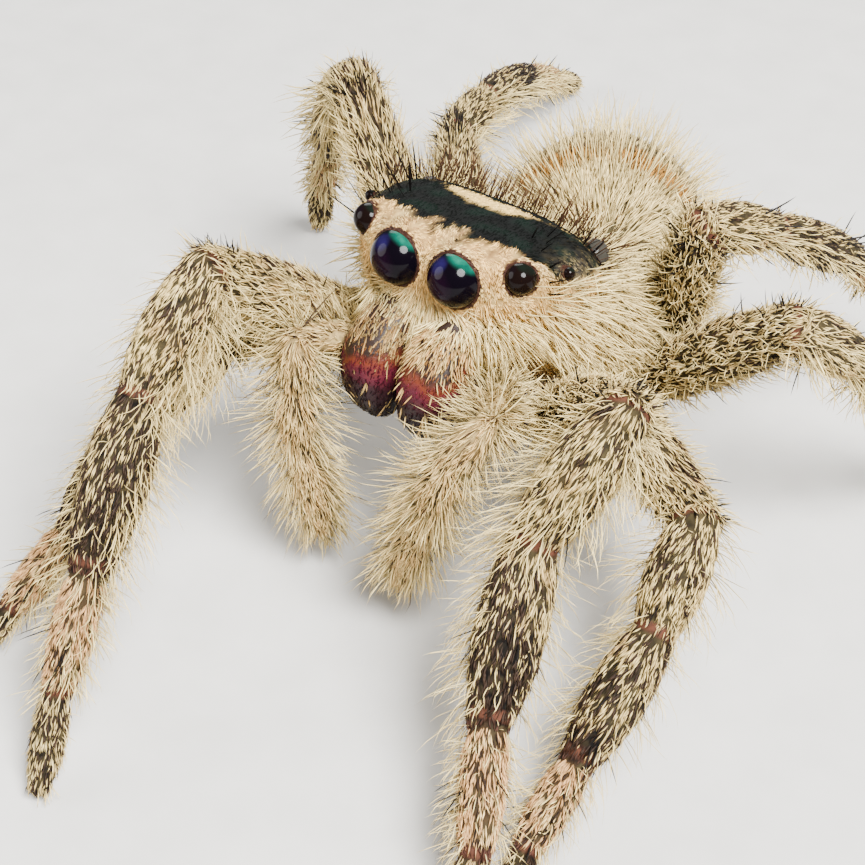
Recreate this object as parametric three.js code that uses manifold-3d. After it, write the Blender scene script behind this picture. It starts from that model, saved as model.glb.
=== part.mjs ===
// A life-size jumping spider (Phidippus regius), standing alert with its head raised.
// Millimetres, +Z up, the spider faces -Y and its left side is +X.
// Every solid is the true outline out to the tips of the coat of scales and hairs.
import * as THREE from 'three';
import { mergeVertices } from 'three/addons/utils/BufferGeometryUtils.js';
import Module from 'manifold-3d';

const wasm = await Module();
wasm.setup();

// ---- driving dimensions ----------------------------------------------------

// Height of the big middle eyes above the floor, and how far the head is tipped up.
const EYE_HEIGHT = 5.35;
const HEAD_PITCH = 9.5;

// Clearance left wherever two solids meet.
const GAP = 0.02;

// The head and thorax as cross-sections from face to waist, in the head's own frame,
// whose origin is midway between the big eyes: [y, half width, top, bottom, squareness].
const PROSOMA_SECTIONS = [
  [-0.12, 0.8, 0.3, -0.72, 2.4],
  [0.0, 1.15, 0.46, -0.88, 2.6],
  [0.2, 1.42, 0.56, -0.96, 2.8],
  [0.5, 1.66, 0.63, -1.15, 3.0],
  [1.0, 1.88, 0.64, -1.75, 3.2],
  [1.5, 1.98, 0.62, -2.35, 3.4],
  [1.85, 2.02, 0.48, -2.65, 3.2],
  [2.2, 2.06, 0.12, -2.75, 2.9],
  [3.0, 2.14, -0.34, -2.95, 2.6],
  [4.0, 2.0, -0.88, -2.95, 2.3],
  [4.75, 1.5, -1.45, -2.8, 2.1],
  [5.25, 0.7, -1.9, -2.5, 2.0],
];
const PROSOMA_WIDEST = 0.42;
const BELLY_ROUNDNESS = 2.2;
const PROSOMA_RINGS = 12;
const PROSOMA_SIDES = 16;

// Eyes in the head's frame: [name, x, y, z, radius, sides].
const EYES = [
  ['front_middle', 0.5, 0.0, 0.0, 0.42, 10],
  ['front_side', 1.33, 0.37, 0.18, 0.24, 8],
  ['small_side', 1.76, 0.98, 0.2, 0.09, 6],
  ['rear_side', 1.48, 2.17, -0.02, 0.24, 8],
];

// The rear side eyes stand on low swellings: [x, y, z, radius].
const EYE_MOUND = [1.4, 2.22, -0.12, 0.3];
const EYE_MOUND_SIDES = 7;

// The waist and the abdomen: a drooping egg, turned a little to the spider's right.
const WAIST_RADIUS = 0.34;
const ABDOMEN_FRONT = [-0.1, 4.98, 2.62];
const ABDOMEN_LENGTH = 5.2;
const ABDOMEN_HALF_WIDTH = 1.92;
const ABDOMEN_HALF_HEIGHT = 1.66;
const ABDOMEN_DROOP = 17;
const ABDOMEN_TURN = 28;
const ABDOMEN_RINGS = 11;
const ABDOMEN_SIDES = 14;
const SPINNERET_LENGTH = 0.75;
const SPINNERET_RADIUS = 0.36;

// The jaws (chelicerae) in the head's frame: points down the middle of the left one
// with its radius there, [x, y, z, radius].
const JAW_STATIONS = [
  [0.47, 0.3, -0.75, 0.34],
  [0.5, 0.0, -1.05, 0.44],
  [0.52, -0.3, -1.55, 0.5],
  [0.49, -0.38, -2.1, 0.43],
  [0.42, -0.35, -2.5, 0.26],
];

// Limb segments are given as [yaw, pitch] in degrees. Yaw 0 points straight out from
// the body's side and 90 points forward; pitch is the rise above level.
// Hips are [outward, back, height above the floor].
const PALP_HIP = [1.1, 0.3, 3.45];
const PALP_LENGTHS = [1.75, 0.88, 0.9, 1.65];
const PALP_RADII = [0.44, 0.48, 0.5, 0.48];
const PALP_POSES = {
  right: [[76, 26], [113, -80], [132, -80], [196, -79]],
  left: [[62, 22], [118, -40], [176, -72], [176, -72]],
};

const LEG_SEGMENTS = ['femur', 'patella', 'tibia', 'metatarsus', 'tarsus'];
const LEGS = {
  leg_1: {
    hip: [1.75, 0.95, 2.85],
    lengths: [3.5, 2.15, 2.45, 1.85, 1.3],
    radii: [0.66, 0.72, 0.68, 0.42, 0.30],
    right: [[67, 39], [96, -31], [105, -41], [106, -44], [114, -44]],
    left: [[41, 38], [116, -51], [73, -40], [62, -26], [80, -34]],
  },
  leg_2: {
    hip: [2.1, 1.85, 2.65],
    lengths: [3.0, 1.8, 2.0, 1.5, 1.0],
    radii: [0.58, 0.62, 0.58, 0.38, 0.29],
    right: [[68, 12], [78, -20], [86, -39], [82, -30], [80, -26]],
    left: [[34, 2], [80, -27], [92, -29], [88, -21], [70, -18]],
  },
  leg_3: {
    hip: [2.15, 2.8, 2.5],
    lengths: [3.6, 1.6, 2.0, 1.9, 1.0],
    radii: [0.58, 0.54, 0.48, 0.34, 0.28],
    right: [[-24, 54], [-34, -42], [-45, -54], [-42, -56], [-39, -52]],
    left: [[11, 43], [-59, -40], [-65, -46], [-69, -48], [-72, -50]],
  },
  leg_4: {
    hip: [1.95, 3.75, 2.4],
    lengths: [3.5, 1.8, 2.6, 2.4, 1.1],
    radii: [0.56, 0.52, 0.48, 0.34, 0.28],
    right: [[-53, 10], [-73, -8], [-76, -18], [-77, -30], [-77, -31]],
    left: [[44, 68], [-76, -26], [-76, -34], [-86, -44], [-86, -52]],
  },
};
const LIMB_SIDES = 8;
const THIN_LIMB = 0.45;
const THIN_LIMB_SIDES = 7;
const JAW_SIDES = 9;

// Thickness along a segment, as [place along it, share of its radius].
const SEGMENT_PROFILE = [[0.0, 0.82], [0.3, 1.0], [0.7, 0.98], [1.0, 0.78]];
const FOOT_SINK = 0.74;

// ---- materials -------------------------------------------------------------

function finish(color, roughness) {
  return new THREE.MeshStandardMaterial({ color, roughness, metalness: 0 });
}

const COAT = finish(0xc9bb9c, 0.9);
const CAP_COAT = finish(0xb9a888, 0.9);
const FOOT_COAT = finish(0xc8a57e, 0.9);
const EYE = finish(0x06080c, 0.05);
const JAW = finish(0x6a2c3c, 0.35);

// ---- shaping helpers -------------------------------------------------------

function radians(degrees) {
  return THREE.MathUtils.degToRad(degrees);
}

// Smooth value at t from rows [t, value, ...], for the column asked.
function blend(rows, t, column) {
  const last = rows.length - 1;
  let i = 0;
  while (i < last - 1 && t > rows[i + 1][0]) {
    i += 1;
  }
  const [a, b] = [rows[i], rows[i + 1]];
  const before = rows[Math.max(i - 1, 0)];
  const after = rows[Math.min(i + 2, last)];
  const step = b[0] - a[0];
  const u = THREE.MathUtils.clamp((t - a[0]) / step, 0, 1);
  const slopeA = (b[column] - before[column]) / (b[0] - before[0]) * step;
  const slopeB = (after[column] - a[column]) / (after[0] - a[0]) * step;
  const [u2, u3] = [u * u, u * u * u];
  return (2 * u3 - 3 * u2 + 1) * a[column] + (u3 - 2 * u2 + u) * slopeA
    + (3 * u2 - 2 * u3) * b[column] + (u3 - u2) * slopeB;
}

// A closed skin through equal rings of points, with a fan over each end.
function loft(rings) {
  const sides = rings[0].length;
  const points = rings.flat();
  const faces = [];
  for (let r = 0; r < rings.length - 1; r += 1) {
    for (let s = 0; s < sides; s += 1) {
      const [a, b] = [r * sides + s, r * sides + (s + 1) % sides];
      faces.push(a, b, b + sides, a, b + sides, a + sides);
    }
  }
  for (const [ring, first, flip] of [[rings[0], 0, true], [rings.at(-1), points.length - sides, false]]) {
    const middle = ring.reduce((sum, p) => sum.add(p), new THREE.Vector3()).divideScalar(sides);
    points.push(middle);
    for (let s = 0; s < sides; s += 1) {
      const [a, b] = [first + s, first + (s + 1) % sides];
      faces.push(...(flip ? [b, a, points.length - 1] : [a, b, points.length - 1]));
    }
  }
  const geometry = new THREE.BufferGeometry();
  geometry.setAttribute('position', new THREE.Float32BufferAttribute(points.flatMap((p) => p.toArray()), 3));
  geometry.setIndex(faces);
  return geometry;
}

// Rings round a path: stations are [centre, radius], or [centre, half width, half height].
function sweep(stations, sides) {
  const centres = stations.map((station) => station[0]);
  const forward = centres.at(-1).clone().sub(centres[0]).normalize();
  const level = Math.abs(forward.z) > 0.95 ? new THREE.Vector3(0, 1, 0) : new THREE.Vector3(0, 0, 1);
  const across = new THREE.Vector3().crossVectors(forward, level).normalize();
  const upward = new THREE.Vector3().crossVectors(across, forward);
  const rings = stations.map(([centre, halfWidth, halfHeight = halfWidth]) => {
    const ring = [];
    for (let s = 0; s < sides; s += 1) {
      const angle = -(s / sides) * Math.PI * 2;
      const p = centre.clone().addScaledVector(across, halfWidth * Math.cos(angle));
      ring.push(p.addScaledVector(upward, halfHeight * Math.sin(angle)));
    }
    return ring;
  });
  return loft(rings);
}

// ---- joining and cutting ---------------------------------------------------

function toSolid(geometry) {
  const bare = geometry.clone();
  bare.deleteAttribute('normal');
  bare.deleteAttribute('uv');
  const merged = mergeVertices(bare, 1e-5);
  const triVerts = new Uint32Array(merged.index.array);
  const vertProperties = new Float32Array(merged.attributes.position.array);
  return new wasm.Manifold(new wasm.Mesh({ numProp: 3, vertProperties, triVerts }));
}

function toGeometry(solid) {
  const mesh = solid.getMesh();
  const geometry = new THREE.BufferGeometry();
  geometry.setAttribute('position', new THREE.BufferAttribute(mesh.vertProperties, 3));
  geometry.setIndex(new THREE.BufferAttribute(mesh.triVerts, 1));
  geometry.computeVertexNormals();
  return geometry;
}

// The largest piece left of a solid once the others are taken out of it.
function without(solid, others) {
  const cut = others.reduce((rest, other) => rest.subtract(other), solid);
  const pieces = cut.decompose();
  pieces.sort((a, b) => b.volume() - a.volume());
  return pieces[0];
}

// ---- the head and thorax ---------------------------------------------------

// From the head's frame to the floor's.
const HEAD_PLACE = new THREE.Matrix4()
  .makeTranslation(0, 0, EYE_HEIGHT)
  .multiply(new THREE.Matrix4().makeRotationX(radians(-HEAD_PITCH)));

function prosomaSolid(grow) {
  const first = PROSOMA_SECTIONS[0][0];
  const last = PROSOMA_SECTIONS.at(-1)[0];
  const rings = [];
  for (let r = 0; r < PROSOMA_RINGS; r += 1) {
    const share = r / (PROSOMA_RINGS - 1);
    const y = first + (last - first) * (1 - Math.cos(share * Math.PI * 0.5)) ** 0.85;
    const [halfWidth, top, bottom, square] = [1, 2, 3, 4].map((i) => blend(PROSOMA_SECTIONS, y, i));
    const waist = top - (top - bottom) * PROSOMA_WIDEST;
    const end = r === 0 ? -grow : (r === PROSOMA_RINGS - 1 ? grow : 0);
    const ring = [];
    for (let s = 0; s < PROSOMA_SIDES; s += 1) {
      const angle = (s / PROSOMA_SIDES) * Math.PI * 2;
      const [c, n] = [Math.cos(angle), Math.sin(angle)];
      const power = 2 / (n > 0 ? square : BELLY_ROUNDNESS);
      const x = (halfWidth + grow) * Math.sign(c) * Math.abs(c) ** power;
      const reach = n > 0 ? top + grow - waist : waist - bottom + grow;
      ring.push(new THREE.Vector3(x, y + end, waist + reach * Math.sign(n) * Math.abs(n) ** power));
    }
    rings.push(ring.reverse());
  }
  return toSolid(loft(rings).applyMatrix4(HEAD_PLACE));
}

function eyeBall(side, [, x, y, z, radius, sides], grow) {
  const ball = new THREE.SphereGeometry(radius + grow, sides, Math.round(sides * 0.7));
  ball.translate(side * x, y, z);
  return toSolid(ball.applyMatrix4(HEAD_PLACE));
}

function eyeMound(side, grow) {
  const [x, y, z, radius] = EYE_MOUND;
  const mound = new THREE.SphereGeometry(radius + grow, EYE_MOUND_SIDES, EYE_MOUND_SIDES - 2);
  mound.translate(side * x, y, z);
  return toSolid(mound.applyMatrix4(HEAD_PLACE));
}

function jawSolid(side, grow) {
  const stations = JAW_STATIONS.map(([x, y, z, radius]) => [
    new THREE.Vector3(side * x, y, z), radius + grow,
  ]);
  return toSolid(sweep(stations, JAW_SIDES).applyMatrix4(HEAD_PLACE));
}

// ---- the abdomen -----------------------------------------------------------

const ABDOMEN_AXIS = new THREE.Vector3(0, Math.cos(radians(ABDOMEN_DROOP)), -Math.sin(radians(ABDOMEN_DROOP)))
  .applyAxisAngle(new THREE.Vector3(0, 0, 1), radians(ABDOMEN_TURN));

function alongAbdomen(distance) {
  return new THREE.Vector3(...ABDOMEN_FRONT).addScaledVector(ABDOMEN_AXIS, distance);
}

function abdomenSolid(grow) {
  const stations = [];
  for (let r = 0; r < ABDOMEN_RINGS; r += 1) {
    const angle = radians(12) + (r / (ABDOMEN_RINGS - 1)) * radians(152);
    const share = (1 - Math.cos(angle)) / 2;
    const fullness = Math.sin(angle) ** 0.86 * (1 - 0.16 * (share - 0.5));
    stations.push([
      alongAbdomen(share * ABDOMEN_LENGTH),
      ABDOMEN_HALF_WIDTH * fullness + grow,
      ABDOMEN_HALF_HEIGHT * fullness + grow,
    ]);
  }
  return toSolid(sweep(stations, ABDOMEN_SIDES));
}

function spinneretSolid() {
  const start = ABDOMEN_LENGTH * 0.93;
  const stations = [[0, 1], [0.55, 0.85], [1, 0.5]].map(([share, width]) => [
    alongAbdomen(start + share * SPINNERET_LENGTH), SPINNERET_RADIUS * width,
  ]);
  return toSolid(sweep(stations, 10));
}

function waistSolid() {
  const stations = [alongAbdomen(-0.6), alongAbdomen(0.7)].map((centre) => [centre, WAIST_RADIUS]);
  return toSolid(sweep(stations, 10));
}

// ---- limbs -----------------------------------------------------------------

// Joint places down a limb, from its hip and the direction of each segment.
function limbJoints(side, [outward, back, height], lengths, pose) {
  const joints = [new THREE.Vector3(side * outward, back, height)];
  lengths.forEach((length, i) => {
    const [yaw, pitch] = pose[i].map(radians);
    const flat = length * Math.cos(pitch);
    const step = new THREE.Vector3(side * flat * Math.cos(yaw), -flat * Math.sin(yaw), length * Math.sin(pitch));
    joints.push(joints.at(-1).clone().add(step));
  });
  return joints;
}

// One segment: a rounded rod that swells between its joints.
function segmentSolid(from, to, radius, grow) {
  const sides = radius < THIN_LIMB ? THIN_LIMB_SIDES : LIMB_SIDES;
  const along = to.clone().sub(from).normalize();
  const cap = radius * 0.55 + grow;
  const stations = SEGMENT_PROFILE.map(([share, width]) => [
    from.clone().lerp(to, share), radius * width + grow,
  ]);
  stations.unshift([from.clone().addScaledVector(along, -cap), radius * 0.4 + grow]);
  stations.push([to.clone().addScaledVector(along, cap), radius * 0.38 + grow]);
  return toSolid(sweep(stations, sides));
}

// The last segment is turned so that its tip comes down to the floor.
function settleFoot(joints, length, radius) {
  const [ankle, toe] = joints.slice(-2);
  const drop = ankle.z - radius * FOOT_SINK;
  const flat = Math.sqrt(Math.max(length ** 2 - drop ** 2, 0.01));
  const heading = toe.clone().sub(ankle).setZ(0).normalize();
  toe.copy(ankle).addScaledVector(heading, flat);
  toe.z = radius * FOOT_SINK;
}

function floorSlab() {
  const slab = new THREE.BoxGeometry(60, 60, 2);
  slab.translate(0, 0, -1);
  return toSolid(slab);
}

// Segments down a limb, each parted from the one before it and from the body.
function limbSolids(joints, radii, bodies) {
  let parent = null;
  return radii.map((radius, i) => {
    const [from, to] = [joints[i], joints[i + 1]];
    const blockers = parent ? [parent, ...bodies] : bodies;
    const solid = without(segmentSolid(from, to, radius, 0), blockers);
    parent = segmentSolid(from, to, radius, GAP);
    return solid;
  });
}

// ---- the whole spider ------------------------------------------------------

const spider = new THREE.Group();

function addPart(name, solid, material) {
  const mesh = new THREE.Mesh(toGeometry(solid), material);
  mesh.name = name;
  spider.add(mesh);
}

const SIDES = { left: 1, right: -1 };

function buildBody() {
  const balls = Object.values(SIDES).flatMap((side) => EYES.map((eye) => eyeBall(side, eye, GAP)));
  const prosoma = prosomaSolid(0).add(eyeMound(SIDES.left, 0)).add(eyeMound(SIDES.right, 0));
  const prosomaRoom = prosomaSolid(GAP);
  const abdomenRoom = abdomenSolid(GAP);
  addPart('cephalothorax', without(prosoma, balls), CAP_COAT);
  addPart('abdomen', without(abdomenSolid(0), [prosomaRoom]), COAT);
  addPart('waist', without(waistSolid(), [prosomaRoom, abdomenRoom]), COAT);
  addPart('spinnerets', without(spinneretSolid(), [abdomenRoom]), COAT);
  return [prosomaRoom, abdomenRoom];
}

function buildEyes() {
  for (const [sideName, side] of Object.entries(SIDES)) {
    for (const eye of EYES) {
      addPart(`eye_${eye[0]}_${sideName}`, eyeBall(side, eye, 0), EYE);
    }
  }
}

function buildJaws(bodies) {
  const jaws = [];
  for (const [sideName, side] of Object.entries(SIDES)) {
    addPart(`jaw_${sideName}`, without(jawSolid(side, 0), bodies), JAW);
    jaws.push(jawSolid(side, GAP));
  }
  return jaws;
}

function buildPalps(bodies) {
  const palps = [];
  for (const [sideName, side] of Object.entries(SIDES)) {
    const joints = limbJoints(side, PALP_HIP, PALP_LENGTHS, PALP_POSES[sideName]);
    const [femur, knee, shin, tip] = limbSolids(joints, PALP_RADII, bodies);
    addPart(`palp_${sideName}_base`, femur, COAT);
    addPart(`palp_${sideName}_middle`, knee.add(segmentSolid(joints[2], joints[3], PALP_RADII[2], 0)), COAT);
    addPart(`palp_${sideName}_tip`, tip, COAT);
    palps.push(segmentSolid(joints[0], joints[1], PALP_RADII[0], GAP));
    palps.push(shin);
  }
  return palps;
}

function buildLegs(bodies) {
  const slab = floorSlab();
  for (const [sideName, side] of Object.entries(SIDES)) {
    let neighbours = [];
    for (const [legName, leg] of Object.entries(LEGS)) {
      const joints = limbJoints(side, leg.hip, leg.lengths, leg[sideName]);
      settleFoot(joints, leg.lengths.at(-1), leg.radii.at(-1));
      const solids = limbSolids(joints, leg.radii, [...bodies, ...neighbours, slab]);
      solids.forEach((solid, i) => {
        const material = i < 3 ? COAT : FOOT_COAT;
        addPart(`${legName}_${sideName}_${LEG_SEGMENTS[i]}`, solid, material);
      });
      neighbours = [segmentSolid(joints[0], joints[1], leg.radii[0], GAP)];
    }
  }
}

// The origin sits on the floor under the middle of the whole spider.
function centreOnFloor() {
  const middle = new THREE.Box3().setFromObject(spider).getCenter(new THREE.Vector3());
  for (const mesh of spider.children) {
    mesh.geometry.translate(-middle.x, -middle.y, 0);
  }
}

const body = buildBody();
buildEyes();
const jaws = buildJaws(body);
const palps = buildPalps([...body, ...jaws]);
buildLegs([...body, ...palps]);
centreOnFloor();

export default spider;
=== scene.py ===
"""A life-size jumping spider: one skin, glossy eyes and jaws, and a coat of scales and hairs.

Lengths are in millimetres while a piece is shaped, and its mesh is turned into metres as it is made.
"""

import math

import bpy
import numpy as np
from mathutils import Matrix, Vector
from mathutils.kdtree import KDTree


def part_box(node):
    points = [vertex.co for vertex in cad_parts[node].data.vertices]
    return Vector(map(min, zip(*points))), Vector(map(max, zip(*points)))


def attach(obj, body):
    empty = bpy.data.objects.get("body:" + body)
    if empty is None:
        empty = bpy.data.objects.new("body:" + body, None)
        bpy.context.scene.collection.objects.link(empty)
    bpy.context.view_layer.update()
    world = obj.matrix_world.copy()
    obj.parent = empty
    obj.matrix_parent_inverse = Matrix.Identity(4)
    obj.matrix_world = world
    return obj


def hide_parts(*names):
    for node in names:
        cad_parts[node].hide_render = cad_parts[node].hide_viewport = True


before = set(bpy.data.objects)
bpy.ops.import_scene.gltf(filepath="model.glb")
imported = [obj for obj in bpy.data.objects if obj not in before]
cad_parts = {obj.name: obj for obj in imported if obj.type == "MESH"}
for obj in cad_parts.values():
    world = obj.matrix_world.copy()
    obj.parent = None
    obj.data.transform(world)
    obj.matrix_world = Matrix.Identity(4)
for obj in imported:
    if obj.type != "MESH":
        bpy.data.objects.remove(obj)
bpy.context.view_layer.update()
random = np.random.default_rng(20)

MM = 0.001
SIDES = {"left": 1.0, "right": -1.0}

# ---- the build of the spider, as in the CAD model ---------------------------

HEAD_PITCH = math.radians(9.5)

# Cross-sections of head and thorax: y, half width, top, bottom, squareness.
PROSOMA = np.array([
    [-0.12, 0.8, 0.3, -0.72, 2.4],
    [0.0, 1.15, 0.46, -0.88, 2.6],
    [0.2, 1.42, 0.56, -0.96, 2.8],
    [0.5, 1.66, 0.63, -1.15, 3.0],
    [1.0, 1.88, 0.64, -1.75, 3.2],
    [1.5, 1.98, 0.62, -2.35, 3.4],
    [1.85, 2.02, 0.48, -2.65, 3.2],
    [2.2, 2.06, 0.12, -2.75, 2.9],
    [3.0, 2.14, -0.34, -2.95, 2.6],
    [4.0, 2.0, -0.88, -2.95, 2.3],
    [4.75, 1.5, -1.45, -2.8, 2.1],
    [5.25, 0.7, -1.9, -2.5, 2.0],
])
PROSOMA_WIDEST = 0.42
BELLY_ROUNDNESS = 2.2
EYE_MOUND = (1.4, 2.22, -0.12, 0.3)

ABDOMEN_FRONT = np.array([-0.1, 4.98, 2.62])
ABDOMEN_LENGTH = 5.2
ABDOMEN_HALF_WIDTH = 1.92
ABDOMEN_HALF_HEIGHT = 1.66
ABDOMEN_DROOP = math.radians(17)
ABDOMEN_TURN = math.radians(28)

# Down the middle of the left jaw in the head's frame: x, y, z, radius.
JAW = np.array([
    [0.47, 0.3, -0.75, 0.34],
    [0.5, 0.0, -1.05, 0.44],
    [0.52, -0.3, -1.55, 0.5],
    [0.49, -0.38, -2.1, 0.43],
    [0.42, -0.35, -2.5, 0.26],
])

# Limbs: hip as outward, back, height; each segment's length, radius, and [yaw, pitch].
PALP = {
    "hip": (1.1, 0.3, 3.45),
    "lengths": (1.75, 0.88, 0.9, 1.65),
    "radii": (0.44, 0.48, 0.5, 0.48),
    "right": ((76, 26), (113, -80), (132, -80), (196, -79)),
    "left": ((62, 22), (118, -40), (176, -72), (176, -72)),
}
LEGS = {
    "leg_1": {
        "hip": (1.75, 0.95, 2.85),
        "lengths": (3.5, 2.15, 2.45, 1.85, 1.3),
        "radii": (0.66, 0.72, 0.68, 0.42, 0.30),
        "right": ((67, 39), (96, -31), (105, -41), (106, -44), (114, -44)),
        "left": ((41, 38), (116, -51), (73, -40), (62, -26), (80, -34)),
    },
    "leg_2": {
        "hip": (2.1, 1.85, 2.65),
        "lengths": (3.0, 1.8, 2.0, 1.5, 1.0),
        "radii": (0.58, 0.62, 0.58, 0.38, 0.29),
        "right": ((68, 12), (78, -20), (86, -39), (82, -30), (80, -26)),
        "left": ((34, 2), (80, -27), (92, -29), (88, -21), (70, -18)),
    },
    "leg_3": {
        "hip": (2.15, 2.8, 2.5),
        "lengths": (3.6, 1.6, 2.0, 1.9, 1.0),
        "radii": (0.58, 0.54, 0.48, 0.34, 0.28),
        "right": ((-24, 54), (-34, -42), (-45, -54), (-42, -56), (-39, -52)),
        "left": ((11, 43), (-59, -40), (-65, -46), (-69, -48), (-72, -50)),
    },
    "leg_4": {
        "hip": (1.95, 3.75, 2.4),
        "lengths": (3.5, 1.8, 2.6, 2.4, 1.1),
        "radii": (0.56, 0.52, 0.48, 0.34, 0.28),
        "right": ((-53, 10), (-73, -8), (-76, -18), (-77, -30), (-77, -31)),
        "left": ((44, 68), (-76, -26), (-76, -34), (-86, -44), (-86, -52)),
    },
}
SEGMENTS = ("femur", "patella", "tibia", "metatarsus", "tarsus")
SEGMENT_PROFILE = np.array([[0.0, 0.82], [0.3, 1.0], [0.7, 0.98], [1.0, 0.78]])
FOOT_SINK = 0.74

# How far the skin lies inside the CAD outline, which is out at the tips of the coat.
LEG_DEPTH = {
    "leg_1": (0.17, 0.22, 0.21, 0.12, 0.07),
    "leg_2": (0.15, 0.19, 0.18, 0.11, 0.07),
    "leg_3": (0.14, 0.15, 0.13, 0.09, 0.06),
    "leg_4": (0.14, 0.15, 0.13, 0.09, 0.06),
}
PALP_DEPTH = (0.18, 0.22, 0.24, 0.24)
HEAD_COAT = 0.07
ABDOMEN_COAT = 0.22

# ---- colours ----------------------------------------------------------------


def shade(red, green, blue):
    """A colour as seen on screen, 0 to 255, as linear light."""
    value = np.array([red, green, blue]) / 255.0
    return np.where(value <= 0.04045, value / 12.92, ((value + 0.055) / 1.055) ** 2.4)


CREAM = shade(208, 181, 118)
PALE = shade(236, 213, 148)
BRIGHT = PALE * 1.12
TAN = shade(186, 140, 82)
FACE = shade(220, 177, 106)
UMBER = shade(120, 84, 56)
OLIVE = shade(148, 127, 84)
BLACK = shade(26, 22, 20)
VELVET = shade(9, 11, 9)
TEAL_BLACK = shade(14, 28, 21)
PEACH = shade(252, 208, 120)
PEACH_SHIN = shade(200, 146, 98)
RUST = shade(178, 126, 50)
JOINT = shade(92, 56, 42)
SLATE = shade(86, 80, 72)

# The way to the photo's camera: its turn to the spider's left, its rise, and both as a vector.
VIEW_TURN = math.radians(35.5)
VIEW_RISE = math.radians(39.46)
VIEW_SIDE = np.array([math.sin(VIEW_TURN) * math.cos(VIEW_RISE), -math.cos(VIEW_TURN) * math.cos(VIEW_RISE),
                      math.sin(VIEW_RISE)])

# ---- small numeric helpers --------------------------------------------------


def box_middle(node):
    """The middle of a CAD node's box, in mm."""
    low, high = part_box(node)
    return (np.array(low) + np.array(high)) / 2 / MM


EYE_LINE = (box_middle("eye_front_middle_left") + box_middle("eye_front_middle_right")) / 2
GROUND_SHIFT = np.array([EYE_LINE[0], EYE_LINE[1], 0.0])


def unit(vectors):
    return vectors / np.maximum(np.linalg.norm(vectors, axis=-1, keepdims=True), 1e-9)


def dot(a, b):
    return np.sum(a * b, axis=-1)


def ramp(value, low, high):
    """0 below low, 1 above high, smooth between; works with low above high too."""
    share = np.clip((value - low) / (high - low), 0, 1)
    return share * share * (3 - 2 * share)


def eased(u):
    """0 to 1 with slow ends, as places along a rounded body."""
    return (1 - np.cos(np.clip(u, 0, 1) * math.pi)) / 2


def vectors(x, y, z):
    """Rows of x, y, z from arrays or single numbers."""
    return np.stack(np.broadcast_arrays(x, y, z), axis=-1)


def mix(a, b, share):
    share = np.asarray(share)[..., None]
    return a * (1 - share) + b * share


def smooth_rows(rows, at):
    """Each column of rows, smoothly, at places along its first column."""
    rows = np.asarray(rows, float)
    place, values = rows[:, 0], rows[:, 1:]
    slope = np.gradient(values, place, axis=0)
    index = np.clip(np.searchsorted(place, at) - 1, 0, len(place) - 2)
    step = place[index + 1] - place[index]
    u = np.clip((at - place[index]) / step, 0, 1)[:, None]
    step = step[:, None]
    return ((2 * u**3 - 3 * u**2 + 1) * values[index] + (u**3 - 2 * u**2 + u) * step * slope[index]
            + (3 * u**2 - 2 * u**3) * values[index + 1] + (u**3 - u**2) * step * slope[index + 1])


def from_head(points):
    """From the head's frame, about the middle of the big eyes, to the floor's."""
    x, y, z = points[..., 0], points[..., 1], points[..., 2]
    c, s = math.cos(HEAD_PITCH), math.sin(HEAD_PITCH)
    return EYE_LINE + np.stack([x, y * c + z * s, z * c - y * s], axis=-1)


def to_head(points):
    p = points - EYE_LINE
    c, s = math.cos(HEAD_PITCH), math.sin(HEAD_PITCH)
    return np.stack([p[..., 0], p[..., 1] * c - p[..., 2] * s, p[..., 2] * c + p[..., 1] * s], axis=-1)


def waves(points, size, seed):
    """Smooth blotches, about -1 to 1, of roughly the size given."""
    picker = np.random.default_rng(seed)
    total = np.zeros(len(points))
    for _ in range(7):
        direction = unit(picker.normal(size=3)) * (2 * math.pi / size) * picker.uniform(0.6, 1.5)
        total += np.sin(points @ direction + picker.uniform(0, 2 * math.pi))
    return total / 3.2


# ---- surfaces ---------------------------------------------------------------


# Left edge and width of a surface's strip on the unwrap, for one that has all of it.
WHOLE_STRIP = (0.02, 0.96)
# Further than any gap that is measured, in mm.
FAR = 9.0


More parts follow.
